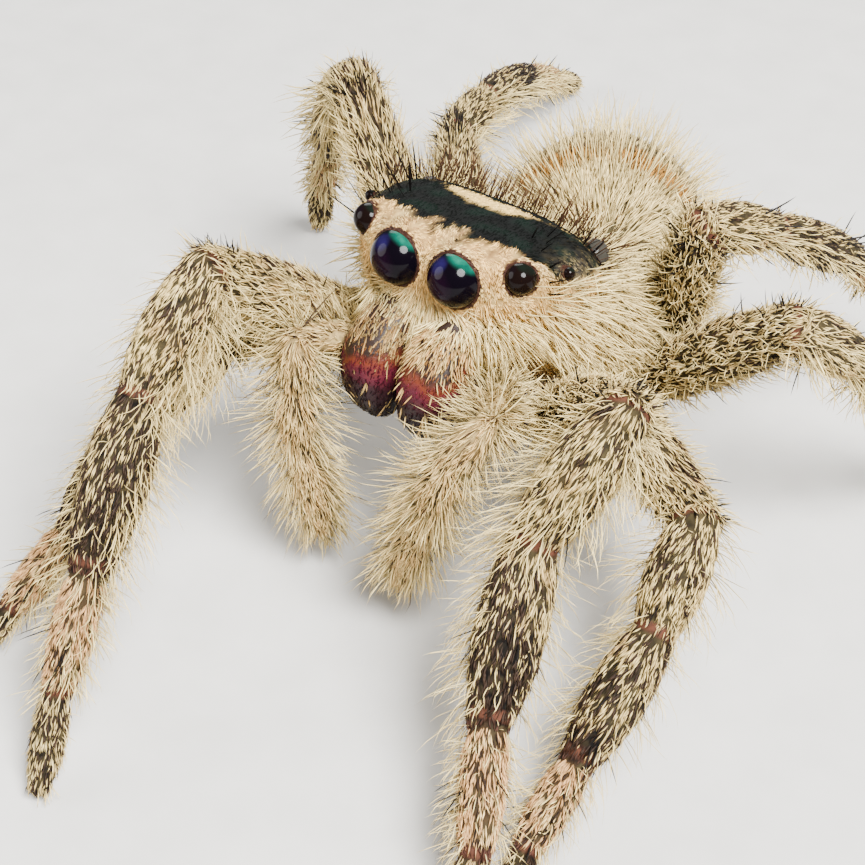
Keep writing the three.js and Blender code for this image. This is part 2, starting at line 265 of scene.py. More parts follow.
class Surface:
    """A tube-like surface: u runs along it from 0 to 1, and v around it from 0 to 1."""

    def __init__(self, place, inside=None, strip=WHOLE_STRIP):
        self.place = place
        self.inside = inside
        self.strip = strip

    def patches(self, u, v):
        """Places on the unwrap, in the surface's upright strip."""
        left, width = self.strip
        return np.column_stack([left + width * (v % 1.0), 0.02 + 0.96 * u])

    def frame_at(self, u, v):
        """Position, outward normal, and the directions in which u and v grow."""
        step = 2e-3
        here = self.place(u, v)
        low, high = np.clip(u - step, 0.001, 0.999), np.clip(u + step, 0.001, 0.999)
        along = unit(self.place(high, v) - self.place(low, v))
        around = unit(self.place(u, v + step) - self.place(u, v - step))
        return here, unit(np.cross(along, around)), along, around

    def grid(self, rows, columns):
        """A closed mesh of the surface, as vertices and faces."""
        u = np.linspace(0.002, 0.998, rows)
        v = np.arange(columns) / columns
        mesh_u, mesh_v = np.meshgrid(u, v, indexing="ij")
        points = self.place(mesh_u.ravel(), mesh_v.ravel())
        row, column = np.meshgrid(np.arange(rows - 1), np.arange(columns), indexing="ij")
        a = (row * columns + column).ravel()
        b = (row * columns + (column + 1) % columns).ravel()
        faces = [tuple(f) for f in np.stack([a, a + columns, b + columns, b], axis=1).tolist()]
        faces.append(tuple(range(columns)))
        faces.append(tuple(range(rows * columns - 1, (rows - 1) * columns - 1, -1)))
        return points, faces

    def scatter(self, per_mm2, rows=60, columns=48):
        """Random places on the surface, evenly by area."""
        u = (np.arange(rows) + 0.5) / rows
        v = (np.arange(columns) + 0.5) / columns
        mesh_u, mesh_v = [m.ravel() for m in np.meshgrid(u, v, indexing="ij")]
        half_u, half_v = 0.5 / rows, 0.5 / columns
        du = self.place(mesh_u + half_u, mesh_v) - self.place(mesh_u - half_u, mesh_v)
        dv = self.place(mesh_u, mesh_v + half_v) - self.place(mesh_u, mesh_v - half_v)
        area = np.linalg.norm(np.cross(du, dv), axis=1)
        count = int(area.sum() * per_mm2)
        cell = random.choice(len(area), size=count, p=area / area.sum())
        jitter = random.uniform(-1, 1, (count, 2))
        return mesh_u[cell] + jitter[:, 0] * half_u, mesh_v[cell] + jitter[:, 1] * half_v


def prosoma_section(y):
    """Half width, level of the widest place, height above and below it, and squareness above."""
    half_width, top, bottom, square = smooth_rows(PROSOMA, y).T
    waist = top - (top - bottom) * PROSOMA_WIDEST
    return half_width, waist, top - waist, waist - bottom, square


def prosoma_surface(coat):
    first, last = PROSOMA[0, 0], PROSOMA[-1, 0]

    def place(u, v):
        y = first + (last - first) * np.clip((eased(u) - 0.05) / 0.92, 0, 1)
        end = np.minimum(np.clip(u / 0.143, 0, 1), np.clip((1 - u) / 0.11, 0, 1))
        half_width, waist, above, below, square = prosoma_section(y)
        angle = v * 2 * math.pi
        c, s = np.cos(angle), np.sin(angle)
        power = 2 / np.where(s > 0, square, BELLY_ROUNDNESS)
        x = (half_width - coat) * np.sign(c) * np.abs(c) ** power * end
        reach = np.where(s > 0, above, below) - coat
        z = waist + reach * np.sign(s) * np.abs(s) ** power * end
        return from_head(np.stack([x, y + coat * np.where(u < 0.5, 1, -1), z], axis=-1))

    def inside(points):
        p = to_head(points)
        y = np.clip(p[:, 1], first, last)
        half_width, waist, above, below, square = prosoma_section(y)
        up = p[:, 2] > waist
        reach = np.where(up, above, below) - coat
        power = np.where(up, square, BELLY_ROUNDNESS)
        level = (np.abs(p[:, 0]) / (half_width - coat)) ** power + (np.abs(p[:, 2] - waist) / reach) ** power
        return (level < 0.93) & (p[:, 1] > first + coat) & (p[:, 1] < last - coat)

    return Surface(place, inside)


ABDOMEN_AXIS = np.array([
    -math.cos(ABDOMEN_DROOP) * math.sin(ABDOMEN_TURN),
    math.cos(ABDOMEN_DROOP) * math.cos(ABDOMEN_TURN),
    -math.sin(ABDOMEN_DROOP),
])


def cross_directions(axis):
    """Across and up for a rod that points along axis."""
    level = np.array([0.0, 1.0, 0.0]) if abs(axis[2]) > 0.95 else np.array([0.0, 0.0, 1.0])
    across = unit(np.cross(axis, level))
    return across, np.cross(across, axis)


def abdomen_fullness(share):
    angle = np.arccos(np.clip(1 - 2 * share, -1, 1))
    return np.sin(angle) ** 0.86 * (1 - 0.16 * (share - 0.5))


def abdomen_surface(coat):
    start = ABDOMEN_FRONT + GROUND_SHIFT
    across, upward = cross_directions(ABDOMEN_AXIS)
    length = ABDOMEN_LENGTH - 2 * coat

    def place(u, v):
        share = eased(u)
        full = abdomen_fullness(share)[..., None]
        angle = (v * 2 * math.pi)[..., None]
        centre = start + ABDOMEN_AXIS * (coat + share * length)[..., None]
        return (centre + across * (ABDOMEN_HALF_WIDTH - coat) * full * np.cos(angle)
                + upward * (ABDOMEN_HALF_HEIGHT - coat) * full * np.sin(angle))

    def inside(points):
        offset = points - start
        share = np.clip((offset @ ABDOMEN_AXIS - coat) / length, 0, 1)
        full = np.maximum(abdomen_fullness(share), 1e-3)
        level = (offset @ across / (ABDOMEN_HALF_WIDTH - coat) / full) ** 2
        level += (offset @ upward / (ABDOMEN_HALF_HEIGHT - coat) / full) ** 2
        return (level < 0.94) & (share > 0.01) & (share < 0.99)

    return Surface(place, inside)


def rod_surface(start, end, radius, coat, strip=WHOLE_STRIP):
    """A limb segment: it swells between its joints and has rounded ends."""
    length = np.linalg.norm(end - start)
    axis = (end - start) / length
    across, upward = cross_directions(axis)
    cap = (radius - coat) * 0.6

    def radius_at(along):
        share = np.clip(along / length, 0, 1)
        body = smooth_rows(SEGMENT_PROFILE, share)[:, 0] * radius - coat
        over = np.maximum(np.maximum(-along, along - length), 0) / cap
        return body * np.sqrt(np.clip(1 - over**2, 0, 1))

    def place(u, v):
        along = -cap + (length + 2 * cap) * np.clip(u, 0, 1)
        ring = radius_at(along)[:, None]
        angle = (v * 2 * math.pi)[:, None]
        return start + axis * along[:, None] + ring * (across * np.cos(angle) + upward * np.sin(angle))

    def inside(points):
        offset = points - start
        along = offset @ axis
        distance = np.linalg.norm(offset - along[:, None] * axis, axis=1)
        near = (along > -cap) & (along < length + cap)
        return near & (distance < radius_at(np.clip(along, -cap * 0.99, length + cap * 0.99)) - 0.02)

    surface = Surface(place, inside, strip)
    surface.start, surface.axis, surface.radius = start, axis, radius - coat
    surface.share_at = lambda points: ((points - start) @ axis) / length
    surface.crease_in = surface.crease_out = None
    return surface


def limb_joints(limb, side_name, foot):
    """Joint places down a limb, its last segment turned down to the floor if it has a foot."""
    side = SIDES[side_name]
    outward, back, height = limb["hip"]
    joints = [np.array([side * outward, back, height]) + GROUND_SHIFT]
    for length, (yaw, pitch) in zip(limb["lengths"], np.radians(limb[side_name])):
        flat = length * math.cos(pitch)
        step = np.array([side * flat * math.cos(yaw), -flat * math.sin(yaw), length * math.sin(pitch)])
        joints.append(joints[-1] + step)
    if foot:
        ankle, toe = joints[-2], joints[-1]
        sole = limb["radii"][-1] * FOOT_SINK
        flat = math.sqrt(max(limb["lengths"][-1] ** 2 - (ankle[2] - sole) ** 2, 0.01))
        heading = unit((toe - ankle) * [1, 1, 0])
        joints[-1] = np.array([*(ankle + heading * flat)[:2], sole])
    return joints


def limb_surfaces(limb, side_name, depths):
    """The skin of each segment, with its own strip of the unwrap."""
    count = len(depths)
    joints = limb_joints(limb, side_name, count == len(SEGMENTS))
    surfaces = []
    for i, (radius, coat) in enumerate(zip(limb["radii"], depths)):
        strip = ((i + 0.04) / count, 0.92 / count)
        surfaces.append(rod_surface(joints[i], joints[i + 1], radius, coat, strip))
        surfaces[i].sign = SIDES[side_name]
    for before, after in zip(surfaces, surfaces[1:]):
        before.crease_out = after.crease_in = (after.start, unit(before.axis + after.axis))
    return surfaces


def jaw_surface(side):
    """A jaw: smooth along its rows, and rounded off at its tip."""
    distance = np.concatenate([[0], np.cumsum(np.linalg.norm(np.diff(JAW[:, :3], axis=0), axis=1))])
    rows = np.column_stack([distance / distance[-1], JAW])

    def place(u, v):
        share = np.clip(u, 0, 1)
        x, y, z, radius = smooth_rows(rows, share).T
        ends = np.sqrt(np.clip(1 - (np.maximum(share - 0.88, 0) / 0.12) ** 2, 0, 1))
        ring = radius * ends
        angle = v * 2 * math.pi
        return from_head(np.stack([side * x + ring * np.cos(angle) * side,
                                   y + ring * np.sin(angle), z - 0.35 * ring * np.sin(angle)], axis=-1))

    return Surface(place)


SKIN_PROSOMA = prosoma_surface(HEAD_COAT)
SKIN_ABDOMEN = abdomen_surface(ABDOMEN_COAT)
LEG_SURFACES = {
    (leg, side): limb_surfaces(LEGS[leg], side, LEG_DEPTH[leg]) for leg in LEGS for side in SIDES
}
PALP_SURFACES = {side: limb_surfaces(PALP, side, PALP_DEPTH) for side in SIDES}
LIMBS = [surface for row in (*LEG_SURFACES.values(), *PALP_SURFACES.values()) for surface in row]
JAWS = {side: jaw_surface(sign) for side, sign in SIDES.items()}

# ---- making meshes ----------------------------------------------------------


def make_mesh(name, points, faces):
    mesh = bpy.data.meshes.new(name)
    mesh.from_pydata((np.asarray(points) * MM).tolist(), [], faces)
    mesh.update()
    piece = bpy.data.objects.new(name, mesh)
    bpy.context.collection.objects.link(piece)
    return piece


def finish_piece(piece, material, nodes=()):
    piece.data.materials.clear()
    piece.data.materials.append(material)
    piece.data.shade_smooth()
    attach(piece, "root")
    if nodes:
        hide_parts(*nodes)


def paint(mesh, colours):
    """Stores one linear colour for each vertex."""
    layer = mesh.color_attributes.new("marking", "FLOAT_COLOR", "POINT")
    full = np.ones((len(colours), 4), np.float32)
    full[:, :3] = np.clip(colours, 0, 1)
    layer.data.foreach_set("color", full.ravel())


# ---- materials --------------------------------------------------------------


class Shader:
    """A material's node tree, with short calls for what the materials here share."""

    def __init__(self, name):
        self.material = bpy.data.materials.new(name)
        self.material.use_nodes = True
        self.tree = self.material.node_tree
        self.main = self.tree.nodes["Principled BSDF"]

    def feed(self, node, inputs):
        """Links or sets the inputs given by name or number."""
        for key, value in inputs.items():
            if isinstance(value, bpy.types.NodeSocket):
                self.tree.links.new(value, node.inputs[key])
            else:
                node.inputs[key].default_value = value

    def node(self, kind, inputs, **settings):
        made = self.tree.nodes.new(kind)
        for key, value in settings.items():
            setattr(made, key, value)
        self.feed(made, inputs)
        return made

    def surface(self, **values):
        self.feed(self.main, {key.replace("_", " "): value for key, value in values.items()})

    def noise(self, scale, detail=4.0, roughness=0.55, stretch=None):
        place = self.node("ShaderNodeTexCoord", {}).outputs["Object"]
        if stretch:
            place = self.node("ShaderNodeMapping", {"Scale": stretch, "Vector": place}).outputs["Vector"]
        looks = {"Scale": scale, "Detail": detail, "Roughness": roughness, "Vector": place}
        return self.node("ShaderNodeTexNoise", looks).outputs["Fac"]

    def colours(self, fac, stops):
        made = self.node("ShaderNodeValToRGB", {"Fac": fac})
        elements = made.color_ramp.elements
        while len(elements) < len(stops):
            elements.new(0.5)
        for element, (place, colour) in zip(elements, stops):
            element.position = place
            element.color = (*colour, 1)
        return made.outputs["Color"]

    def range(self, fac, low, high, start=0.25, end=0.75, **settings):
        limits = {"From Min": start, "From Max": end, "To Min": low, "To Max": high, "Value": fac}
        return self.node("ShaderNodeMapRange", limits, **settings).outputs["Result"]

    def math(self, operation, *values):
        return self.node("ShaderNodeMath", dict(enumerate(values)), operation=operation).outputs["Value"]

    def mix(self, a, b, factor, **settings):
        inputs = {"Factor": factor, "A": a, "B": b}
        return self.node("ShaderNodeMix", inputs, data_type="RGBA", **settings).outputs["Result"]

    def bump(self, height, strength, distance):
        inputs = {"Strength": strength, "Distance": distance, "Height": height}
        self.surface(Normal=self.node("ShaderNodeBump", inputs).outputs["Normal"])


def marking_material(name, grain, darkest, roughness, bump, specular):
    """Takes its colour from the markings painted on the mesh, broken up by fine grain."""
    shader = Shader(name)
    marking = shader.node("ShaderNodeVertexColor", {}, layer_name="marking").outputs["Color"]
    fine = shader.noise(grain)
    colour = shader.mix(marking, shader.range(fine, darkest, 1.15), 1.0, blend_type="MULTIPLY")
    matt = shader.range(fine, roughness - 0.12, roughness + 0.1)
    shader.surface(Base_Color=colour, Roughness=matt, Specular_IOR_Level=specular)
    shader.bump(fine, bump, 0.00003)
    return shader.material


# Painted reflections on the eyes: direction from the eye's middle, how near its line the painted
# reflection starts and is full, colour.
PAINTED_REFLECTIONS = (
    ((-0.34, -0.94, 0.0), 0.6, 0.98, shade(22, 5, 20)),
    ((-0.36, -0.55, 0.75), 0.9, 1.0, shade(25, 18, 58)),
    ((0.31, 0.27, 0.91), 0.66, 0.9, shade(14, 92, 74)),
)


def eye_material(name, strength, ground):
    """A dark lens with painted reflections, green above and violet towards the spider's right, in streaks."""
    shader = Shader(name)
    place = shader.node("ShaderNodeTexCoord", {}).outputs["Generated"]
    # The painted reflections are broken into streaks.
    streaks = shader.range(shader.noise(5200, 3.0, 0.6, (1.0, 1.0, 0.3)), 0.3, 1.2)
    colour = (*ground, 1)
    # Each painted reflection is laid where the lens faces its direction, as strong as strength.
    for direction, low, high, reflection_colour in PAINTED_REFLECTIONS:
        toward = shader.node("ShaderNodeVectorMath", {0: place, 1: direction}, operation="DOT_PRODUCT")
        centre = sum(direction)
        level = shader.range(toward.outputs["Value"], 0.0, strength, (low + centre) / 2, (high + centre) / 2,
                             interpolation_type="SMOOTHSTEP")
        colour = shader.mix(colour, (*reflection_colour, 1), shader.math("MULTIPLY", level, streaks))
    shader.surface(Base_Color=colour, Roughness=0.12, Specular_IOR_Level=0.04)
    shader.surface(Coat_Weight=0.07, Coat_Roughness=0.02)
    return shader.material


def jaw_material():
    """Smooth wrinkled shell: dark at its top, then orange-brown, maroon and nearly black."""
    shader = Shader("jaw_shell")
    place = shader.node("ShaderNodeTexCoord", {}).outputs["Generated"]
    height = shader.node("ShaderNodeSeparateXYZ", {"Vector": place}).outputs["Z"]
    colour = shader.colours(shader.math("MULTIPLY_ADD", shader.noise(1600, 3.0), 0.5, height), [
        (0.42, shade(12, 3, 5)),
        (0.68, shade(28, 6, 11)),
        (0.82, shade(66, 14, 27)),
        (0.91, shade(88, 34, 16)),
        (1.0, shade(30, 17, 10)),
    ])
    shader.surface(Base_Color=colour, Metallic=0.05, Roughness=0.52, Specular_IOR_Level=0.2)
    shader.surface(Coat_Weight=0.05, Coat_Roughness=0.25)
    shader.bump(shader.noise(9000, 3.0, 0.5, (1.0, 1.0, 2.6)), 0.5, 0.00003)
    return shader.material


SKIN_MATERIAL = marking_material("skin", 14000, 0.55, 0.8, 0.6, 0.06)
HAIR_MATERIAL = marking_material("hairs", 9000, 0.8, 0.6, 0.25, 0.12)
SCALE_MATERIAL = marking_material("scales", 16000, 0.78, 0.6, 0.3, 0.12)
VELVET_MATERIAL = marking_material("velvet", 16000, 0.5, 0.85, 0.3, 0.03)

# ---- the coat ---------------------------------------------------------------

# Where a blade has rings along its length, and how wide it is there; it ends in a point.
SHORT_RINGS = ((0.0, 0.7), (0.5, 1.0))
LONG_RINGS = ((0.0, 0.75), (0.34, 1.0), (0.7, 0.72))
# Height of a blade's ridge as a share of its width.
RIDGE = 0.45
# How deep a blade is sunk: in mm, and as a share of its length.
ROOT_DEPTH, ROOT_SHARE = 0.004, 0.07
# Painted shade along a blade, darkest at its root deep in the coat: how bright a blade is at its root and its
# tip, and how soon it reaches its full tone.
ROOT_PAINTED_SHADE, TIP_PAINTED_TONE, PAINTED_SHADE_FADE = 0.3, 1.05, 1.6
# Size of a blade on the unwrap.
PATCH = 0.003
HIDERS = [SKIN_PROSOMA, SKIN_ABDOMEN, *LIMBS]

skin_roots = []
skin_tints = []


def exposed(surface, points, normals):
    """Which roots aren't buried in another part of the body."""
    test = points + normals * 0.01
    clear = np.ones(len(points), bool)
    for other in HIDERS:
        if other is not surface:
            clear &= ~other.inside(test)
    return clear


def blade_faces(rings):
    """Triangles of one blade, which has three corners to a ring and then its tip."""
    faces = []
    for ring in range(rings - 1):
        for j in range(3):
            a, b = ring * 3 + j, ring * 3 + (j + 1) % 3
            faces += [(a, b, b + 3), (a, b + 3, a + 3)]
    last = (rings - 1) * 3
    faces += [(last + j, last + (j + 1) % 3, last + 3) for j in range(3)]
    return np.array(faces)


def blades(batch):
    """Thin pointed three-sided blades, each curving from its root.

    batch gives root, normal, lie, length, width, lift (radians), drop (share of the length
    that the tip bends back towards the skin), sway (the same, sideways), tint and patch
    (its root's place on the unwrap of the skin), and may give pull, a bend of its own.
    Long blades have one more ring. Blades that would go through the floor are left out.
    """
    root, normal, lie = batch["root"], batch["normal"], batch["lie"]
    length, width, lift = (batch[key][:, None] for key in ("length", "width", "lift"))
    side = unit(np.cross(lie, normal))
    heading = lie * np.cos(lift) + normal * np.sin(lift)
    curl = side * batch["sway"][:, None] - normal * batch["drop"][:, None] + batch.get("pull", 0.0)
    rise = unit(np.cross(heading, side))
    rise = np.where(dot(rise, normal)[:, None] < 0, -rise, rise)
    base = root - normal * (ROOT_DEPTH + ROOT_SHARE * length)
    rings = LONG_RINGS if batch["long"] else SHORT_RINGS
    verts, tints, patches = [], [], []
    for place, wide in rings:
        centre = base + length * (heading * place + curl * place**2)
        half = side * width * wide * 0.5
        # Painted shade: rings near the root are darker.
        tone = ROOT_PAINTED_SHADE + (1 - ROOT_PAINTED_SHADE) * min(place * PAINTED_SHADE_FADE, 1.0)
        for corner, offset in ((-1, -half), (1, half), (0, rise * width * wide * RIDGE)):
            verts.append(centre + offset)
            tints.append(batch["tint"] * tone)
            patches.append(batch["patch"] + [corner * PATCH * 0.45, (place - 0.5) * PATCH])
    verts.append(base + length * (heading + curl))
    tints.append(batch["tint"] * TIP_PAINTED_TONE)
    patches.append(batch["patch"] + [0.0, 0.5 * PATCH])
    clear = np.min([corner[:, 2] for corner in verts], axis=0) > 0.0
    points, colours, places = (np.stack(rows, axis=1)[clear] for rows in (verts, tints, patches))
    count, per = points.shape[:2]
    triangles = (np.arange(count)[:, None, None] * per + blade_faces(len(rings))).reshape(-1, 3)
    return points.reshape(-1, 3), colours.reshape(-1, 3), places.reshape(-1, 2), triangles


def coat_piece(name, batches, material):
    """Joins batches of blades into one mesh with its markings and its unwrap."""
    parts, offset = [], 0
    for batch in batches:
        if len(batch["root"]):
            *looks, triangles = blades(batch)
            parts.append((*looks, triangles + offset))
            offset += len(looks[0])
    points, colours, patches, triangles = (np.concatenate(part) for part in zip(*parts))
    mesh = bpy.data.meshes.new(name)
    mesh.vertices.add(len(points))
    mesh.vertices.foreach_set("co", (points * MM).astype(np.float32).ravel())
    mesh.loops.add(triangles.size)
    mesh.loops.foreach_set("vertex_index", triangles.astype(np.int32).ravel())
    mesh.polygons.add(len(triangles))
    mesh.polygons.foreach_set("loop_start", np.arange(0, triangles.size, 3, dtype=np.int32))
    mesh.update(calc_edges=True)
    unwrap = mesh.uv_layers.new(name="OFBake")
    corners = np.clip(patches[triangles.ravel()], 0.0005, 0.9995)
    unwrap.data.foreach_set("uv", corners.astype(np.float32).ravel())
    paint(mesh, colours)
    piece = bpy.data.objects.new(name, mesh)
    bpy.context.collection.objects.link(piece)
    finish_piece(piece, material)


def tree_of(points):
    tree = KDTree(len(points))
    for index, point in enumerate(points.tolist()):
        tree.insert(point, index)
    tree.balance()
    return tree


def mesh_points(mesh):
    """The places of a mesh's vertices, in mm."""
    flat = np.empty(len(mesh.vertices) * 3)
    mesh.vertices.foreach_get("co", flat)
    return flat.reshape(-1, 3) / MM


def read_skin(skin):
    """The finished skin's four-cornered faces: corners, middle, outward normal and area, in mm."""
    corners = np.array([(*face.vertices, face.vertices[0])[:4] for face in skin.data.polygons])
    corners = mesh_points(skin.data)[corners]
    slant = np.cross(corners[:, 2] - corners[:, 0], corners[:, 3] - corners[:, 1])
    return {"corners": corners, "middle": corners.mean(axis=1), "normal": unit(slant),
            "area": np.linalg.norm(slant, axis=1) / 2}


# In mm: the margin of the box round the head, how near the head's own outline its faces lie,
# and how deep under them other parts are looked for.
HEAD_REACH, HEAD_NEAR, HEAD_DEPTH = 0.4, 0.36, 0.06


def head_faces(skin_faces):
    """The skin's faces that belong to the head and thorax, with their place on its unwrap."""
    rows, columns = 120, 96
    u, v = np.meshgrid(np.linspace(0.004, 0.996, rows), np.arange(columns) / columns, indexing="ij")
    grid = SKIN_PROSOMA.place(u.ravel(), v.ravel())
    tree = tree_of(grid)
    low, high = grid.min(axis=0) - HEAD_REACH, grid.max(axis=0) + HEAD_REACH
    middle = skin_faces["middle"]
    near = np.all((middle > low) & (middle < high), axis=1)
    within = middle[near] - skin_faces["normal"][near] * HEAD_DEPTH
    mine = np.ones(len(within), bool)
    for other in HIDERS[1:]:
        mine &= ~other.inside(within)
    picked = np.flatnonzero(near)[mine]
    nearest = [tree.find(place) for place in middle[picked].tolist()]
    close = np.array([found[2] for found in nearest]) < HEAD_NEAR
    index = np.array([found[1] for found in nearest])[close]
    faces = {key: value[picked][close] for key, value in skin_faces.items()}
    return {**faces, "u": u.ravel()[index], "v": v.ravel()[index]}


def strands(surface, u, v, lie, at=None, keep=True, long=False, **looks):
    """A batch of blades at u, v on a surface; lie is in the skin's plane or near it."""
    root, normal, along, around = surface.frame_at(u, v)
    if at:
        root, normal = at
    lie = lie(root, along, around) if callable(lie) else lie
    lie = unit(lie - normal * dot(lie, normal)[:, None])
    looks.update(root=root, normal=normal, lie=lie, patch=surface.patches(u, v))
    keep = exposed(surface, root, normal) & keep
    batch = {key: value[keep] for key, value in looks.items()}
    skin_roots.append(batch["root"])
    skin_tints.append(batch["tint"])
    return {**batch, "long": long}


def locks(root, amount):
    """Sideways leanings that neighbouring hairs share, so they gather into locks."""
    shared = waves(root, 0.3, 91) + 0.7 * waves(root, 0.14, 92)
    return (amount * (1.1 * shared + random.normal(0, 0.75, len(root))))[:, None]


def combed(lean, shared=False):
    """A lie along a surface with random leanings to the sides, gathered in locks if shared."""
    def lie(root, along, around):
        if not lean:
            return along
        return along + around * (locks(root, lean) if shared else random.normal(0, lean, (len(root), 1)))
    return lie


def spread(count, low=0.0, high=1.0):
    return random.uniform(low, high, count)


def bends(count, width, lift, drop, sway):
    """Random widths, lifts and drops between the limits given, lifts in degrees, and sways."""
    return {"width": spread(count, *width), "lift": np.radians(spread(count, *lift)),
            "drop": spread(count, *drop), "sway": random.normal(0, sway, count)}


def varied(tint, amount=0.12):
    """The same colours, each a little lighter or darker."""
    return tint * (1 + random.normal(0, amount, (len(tint), 1)))


def plain(count, colour):
    return varied(np.tile(colour, (count, 1)))


def pale(count, low=0.0, light=PALE):
    """Cream hairs, each mixed by a random share, at least low, with a lighter colour."""
    return varied(mix(CREAM, light, spread(count, low, 1.0)))


# ---- coat of the legs and feelers -------------------------------------------

# For each segment: hairs per mm2, length, lift in degrees, share of black hairs.
LEG_COAT = (
    (250, 0.34, 17, 0.26),
    (330, 0.26, 10, 0.20),
    (330, 0.25, 11, 0.6),
    (330, 0.22, 14, 0.06),
    (310, 0.18, 16, 0.42),
)


def crease_gap(surface, root):
    """How far each root is from the nearer crease between this segment and the next."""
    gap = np.full(len(root), FAR)
    for crease in (surface.crease_in, surface.crease_out):
        if crease:
            joint, bend = crease
            gap = np.minimum(gap, np.abs((root - joint) @ bend))
    return gap


def leg_tints(index, root, share, top):
    """Cream streaks over black, peach shins near the foot, and dark spots by the joints."""
    blotch = waves(root, 0.9, 5 + index)
    dark_chance = LEG_COAT[index][3] + 0.2 * blotch
    if index == 2:
        dark_chance += 0.45 * (share - 0.5)
    spots = ramp(waves(root, 0.42, 55), 0.55, 0.9) * ramp(np.abs(share - 0.5), 0.28, 0.46)
    if index < 3:
        dark_chance += 0.5 * spots - 0.15 * ramp(-top, -0.1, 0.9)
    dark = (spread(len(root)) < dark_chance)[:, None]
    light = (mix(CREAM, OLIVE, 0.35), CREAM, mix(CREAM, OLIVE, 0.2), mix(PEACH_SHIN, CREAM, 0.25),
             mix(OLIVE, CREAM, 0.5))[index]
    tint = np.tile(light, (len(root), 1))
    tint = mix(tint, PALE, ramp(waves(root, 0.35, 31), 0.1, 0.9) * 0.5)
    tint = mix(tint, mix(UMBER, TAN, 0.5), ramp(waves(root, 0.5, 33), 0.3, 1.0) * 0.4)
    tint = np.where(dark, mix(BLACK, UMBER, 0.12), tint)
    if index == 3:
        tint = mix(tint, mix(JOINT, BLACK, 0.4), (share > 0.93) * 1.0 + (share < 0.08) * 0.8)
    if index == 2:
        tint = mix(tint, mix(JOINT, BLACK, 0.5), ramp(share, 0.94, 0.99) * 0.8)
    return varied(tint)


def limb_batches(surfaces, density):
    """The flat streaks and the long fringe of each segment of a leg."""
    batches = []
    for index, surface in enumerate(surfaces):
        per_mm2, length, lift, _ = LEG_COAT[index]
        u, v = surface.scatter(per_mm2 * density)
        root, normal, _, _ = surface.frame_at(u, v)
        share = surface.share_at(root)
        number = len(u)
        tint = leg_tints(index, root, share, normal[:, 2])
        keep = crease_gap(surface, root) > spread(number, 0.02, 0.07) + 0.03 * (index == 1)
        batches.append(strands(
            surface, u, v, combed(0.18, True), tint=tint, keep=keep,
            length=length * spread(number, 0.7, 1.25) * (1 - 0.35 * ramp(share, 0.85, 1.1)),
            **bends(number, (0.020, 0.033), (0.5 * lift, 1.6 * lift), (0.04, 0.2), 0.06),
        ))
        batches.append(fringe_batch(surface, index, density))
    return batches


# Long pale hairs on each segment: how many per mm2, length, and the share that grows all round.
FRINGE = ((130, 0.72, 0.22), (125, 1.15, 0.0), (115, 1.0, 0.0), (150, 0.8, 0.2), (80, 0.36, 0.0))


def fringe_batch(surface, index, density):
    """Long pale hairs that comb out of the sides and underside, thickest in front."""
    per_mm2, length, everywhere = FRINGE[index]
    u, v = surface.scatter(per_mm2 * density)
    number = len(u)
    _, normal, _, _ = surface.frame_at(u, v)
    forward = -normal[:, 1] * 0.6 - normal[:, 0] * surface.sign * 0.5
    below = ramp(-normal[:, 2], -0.45, 0.5)
    flank = ramp(1 - np.abs(normal[:, 2]), 0.25, 0.8)
    amount = 0.04 + 0.3 * flank + 0.56 * flank * ramp(forward, -0.1, 0.6) + 0.35 * below + everywhere
    keep = spread(number) < amount
    scale = (surface.radius / 0.45) ** 0.4
    reach = 0.5 + 0.5 * ramp(amount, 0.15, 0.8)
    return strands(
        surface, u, v, combed(0.24, True), keep=keep, long=True,
        length=length * scale * reach * spread(number, 0.55, 1.3),
        **bends(number, (0.015, 0.024), (38, 80), (0.2, 0.55), 0.14), tint=pale(number),
    )


# Black bristles on a leg: segment, how many, where along it, side lean, length, bends, tone.
STOUT = ((0.4, 0.7), ((0.024, 0.032), (38, 66), (0.05, 0.2), 0.05), 0.8)
KNEE = ((0.16, 0.4), ((0.018, 0.026), (40, 85), (0.0, 0.3), 0.15), 0.9)
LEG_BRISTLES = (
    *((segment, number, (0.35, 0.9), 0.0, *STOUT) for segment, number in ((0, 10), (1, 8), (2, 10), (3, 9))),
    (0, 90, (0.84, 0.97), 0.5, *KNEE),
)


def bristle_batch(surfaces, segment, number, where, lean, length, looks, tone):
    u, v = spread(number, *where), spread(number)
    return strands(surfaces[segment], u, v, combed(lean), long=True, length=spread(number, *length),
                   **bends(number, *looks), tint=plain(number, BLACK * tone))


def leg_coats():
    for (leg, side_name), surfaces in LEG_SURFACES.items():
        batches = limb_batches(surfaces, 1.15 if leg in ("leg_1", "leg_2") else 0.92)
        batches += [bristle_batch(surfaces, *row) for row in LEG_BRISTLES]
        coat_piece(f"coat_{leg}_{side_name}", batches, HAIR_MATERIAL)


# For each feeler segment: long hairs per mm2, length, share of dark hairs.
PALP_COAT = ((330, 0.85, 0.12), (430, 1.1, 0.04), (460, 1.3, 0.02), (560, 1.1, 0.02))


def palp_batch(surface, per_mm2, reach, dark_share, tip):
    """A brush of long hairs at the sides of a core of short ones on the side that faces the viewer."""
    u, v = surface.scatter(per_mm2)
    number = len(u)
    root, normal, _, _ = surface.frame_at(u, v)
    core = ramp(normal @ VIEW_SIDE, 0.1, 0.6)
    out = spread(number) ** 0.7 * (1 - 0.9 * core)
    tint = mix(mix(CREAM, OLIVE, 0.35), PALE, spread(number))
    tint = mix(tint, mix(TAN, CREAM, 0.35), core * spread(number, 0.2, 1.0))
    dark = spread(number) < dark_share
    tint = np.where(dark[:, None], mix(BLACK, UMBER, 0.2), tint)
    end = 1 - 0.4 * ramp(surface.share_at(root), 0.8, 1.1) * tip
    return strands(
        surface, u, v, combed(0.2, True), long=True,
        length=reach * end * (0.17 + 0.95 * out), width=spread(number, 0.015, 0.026),
        lift=np.radians(9 + 74 * np.sqrt(out)) * (1 - 0.3 * tip),
        drop=spread(number, 0.1, 0.5) * (0.3 + out), sway=random.normal(0, 0.14, number), tint=varied(tint),
    )


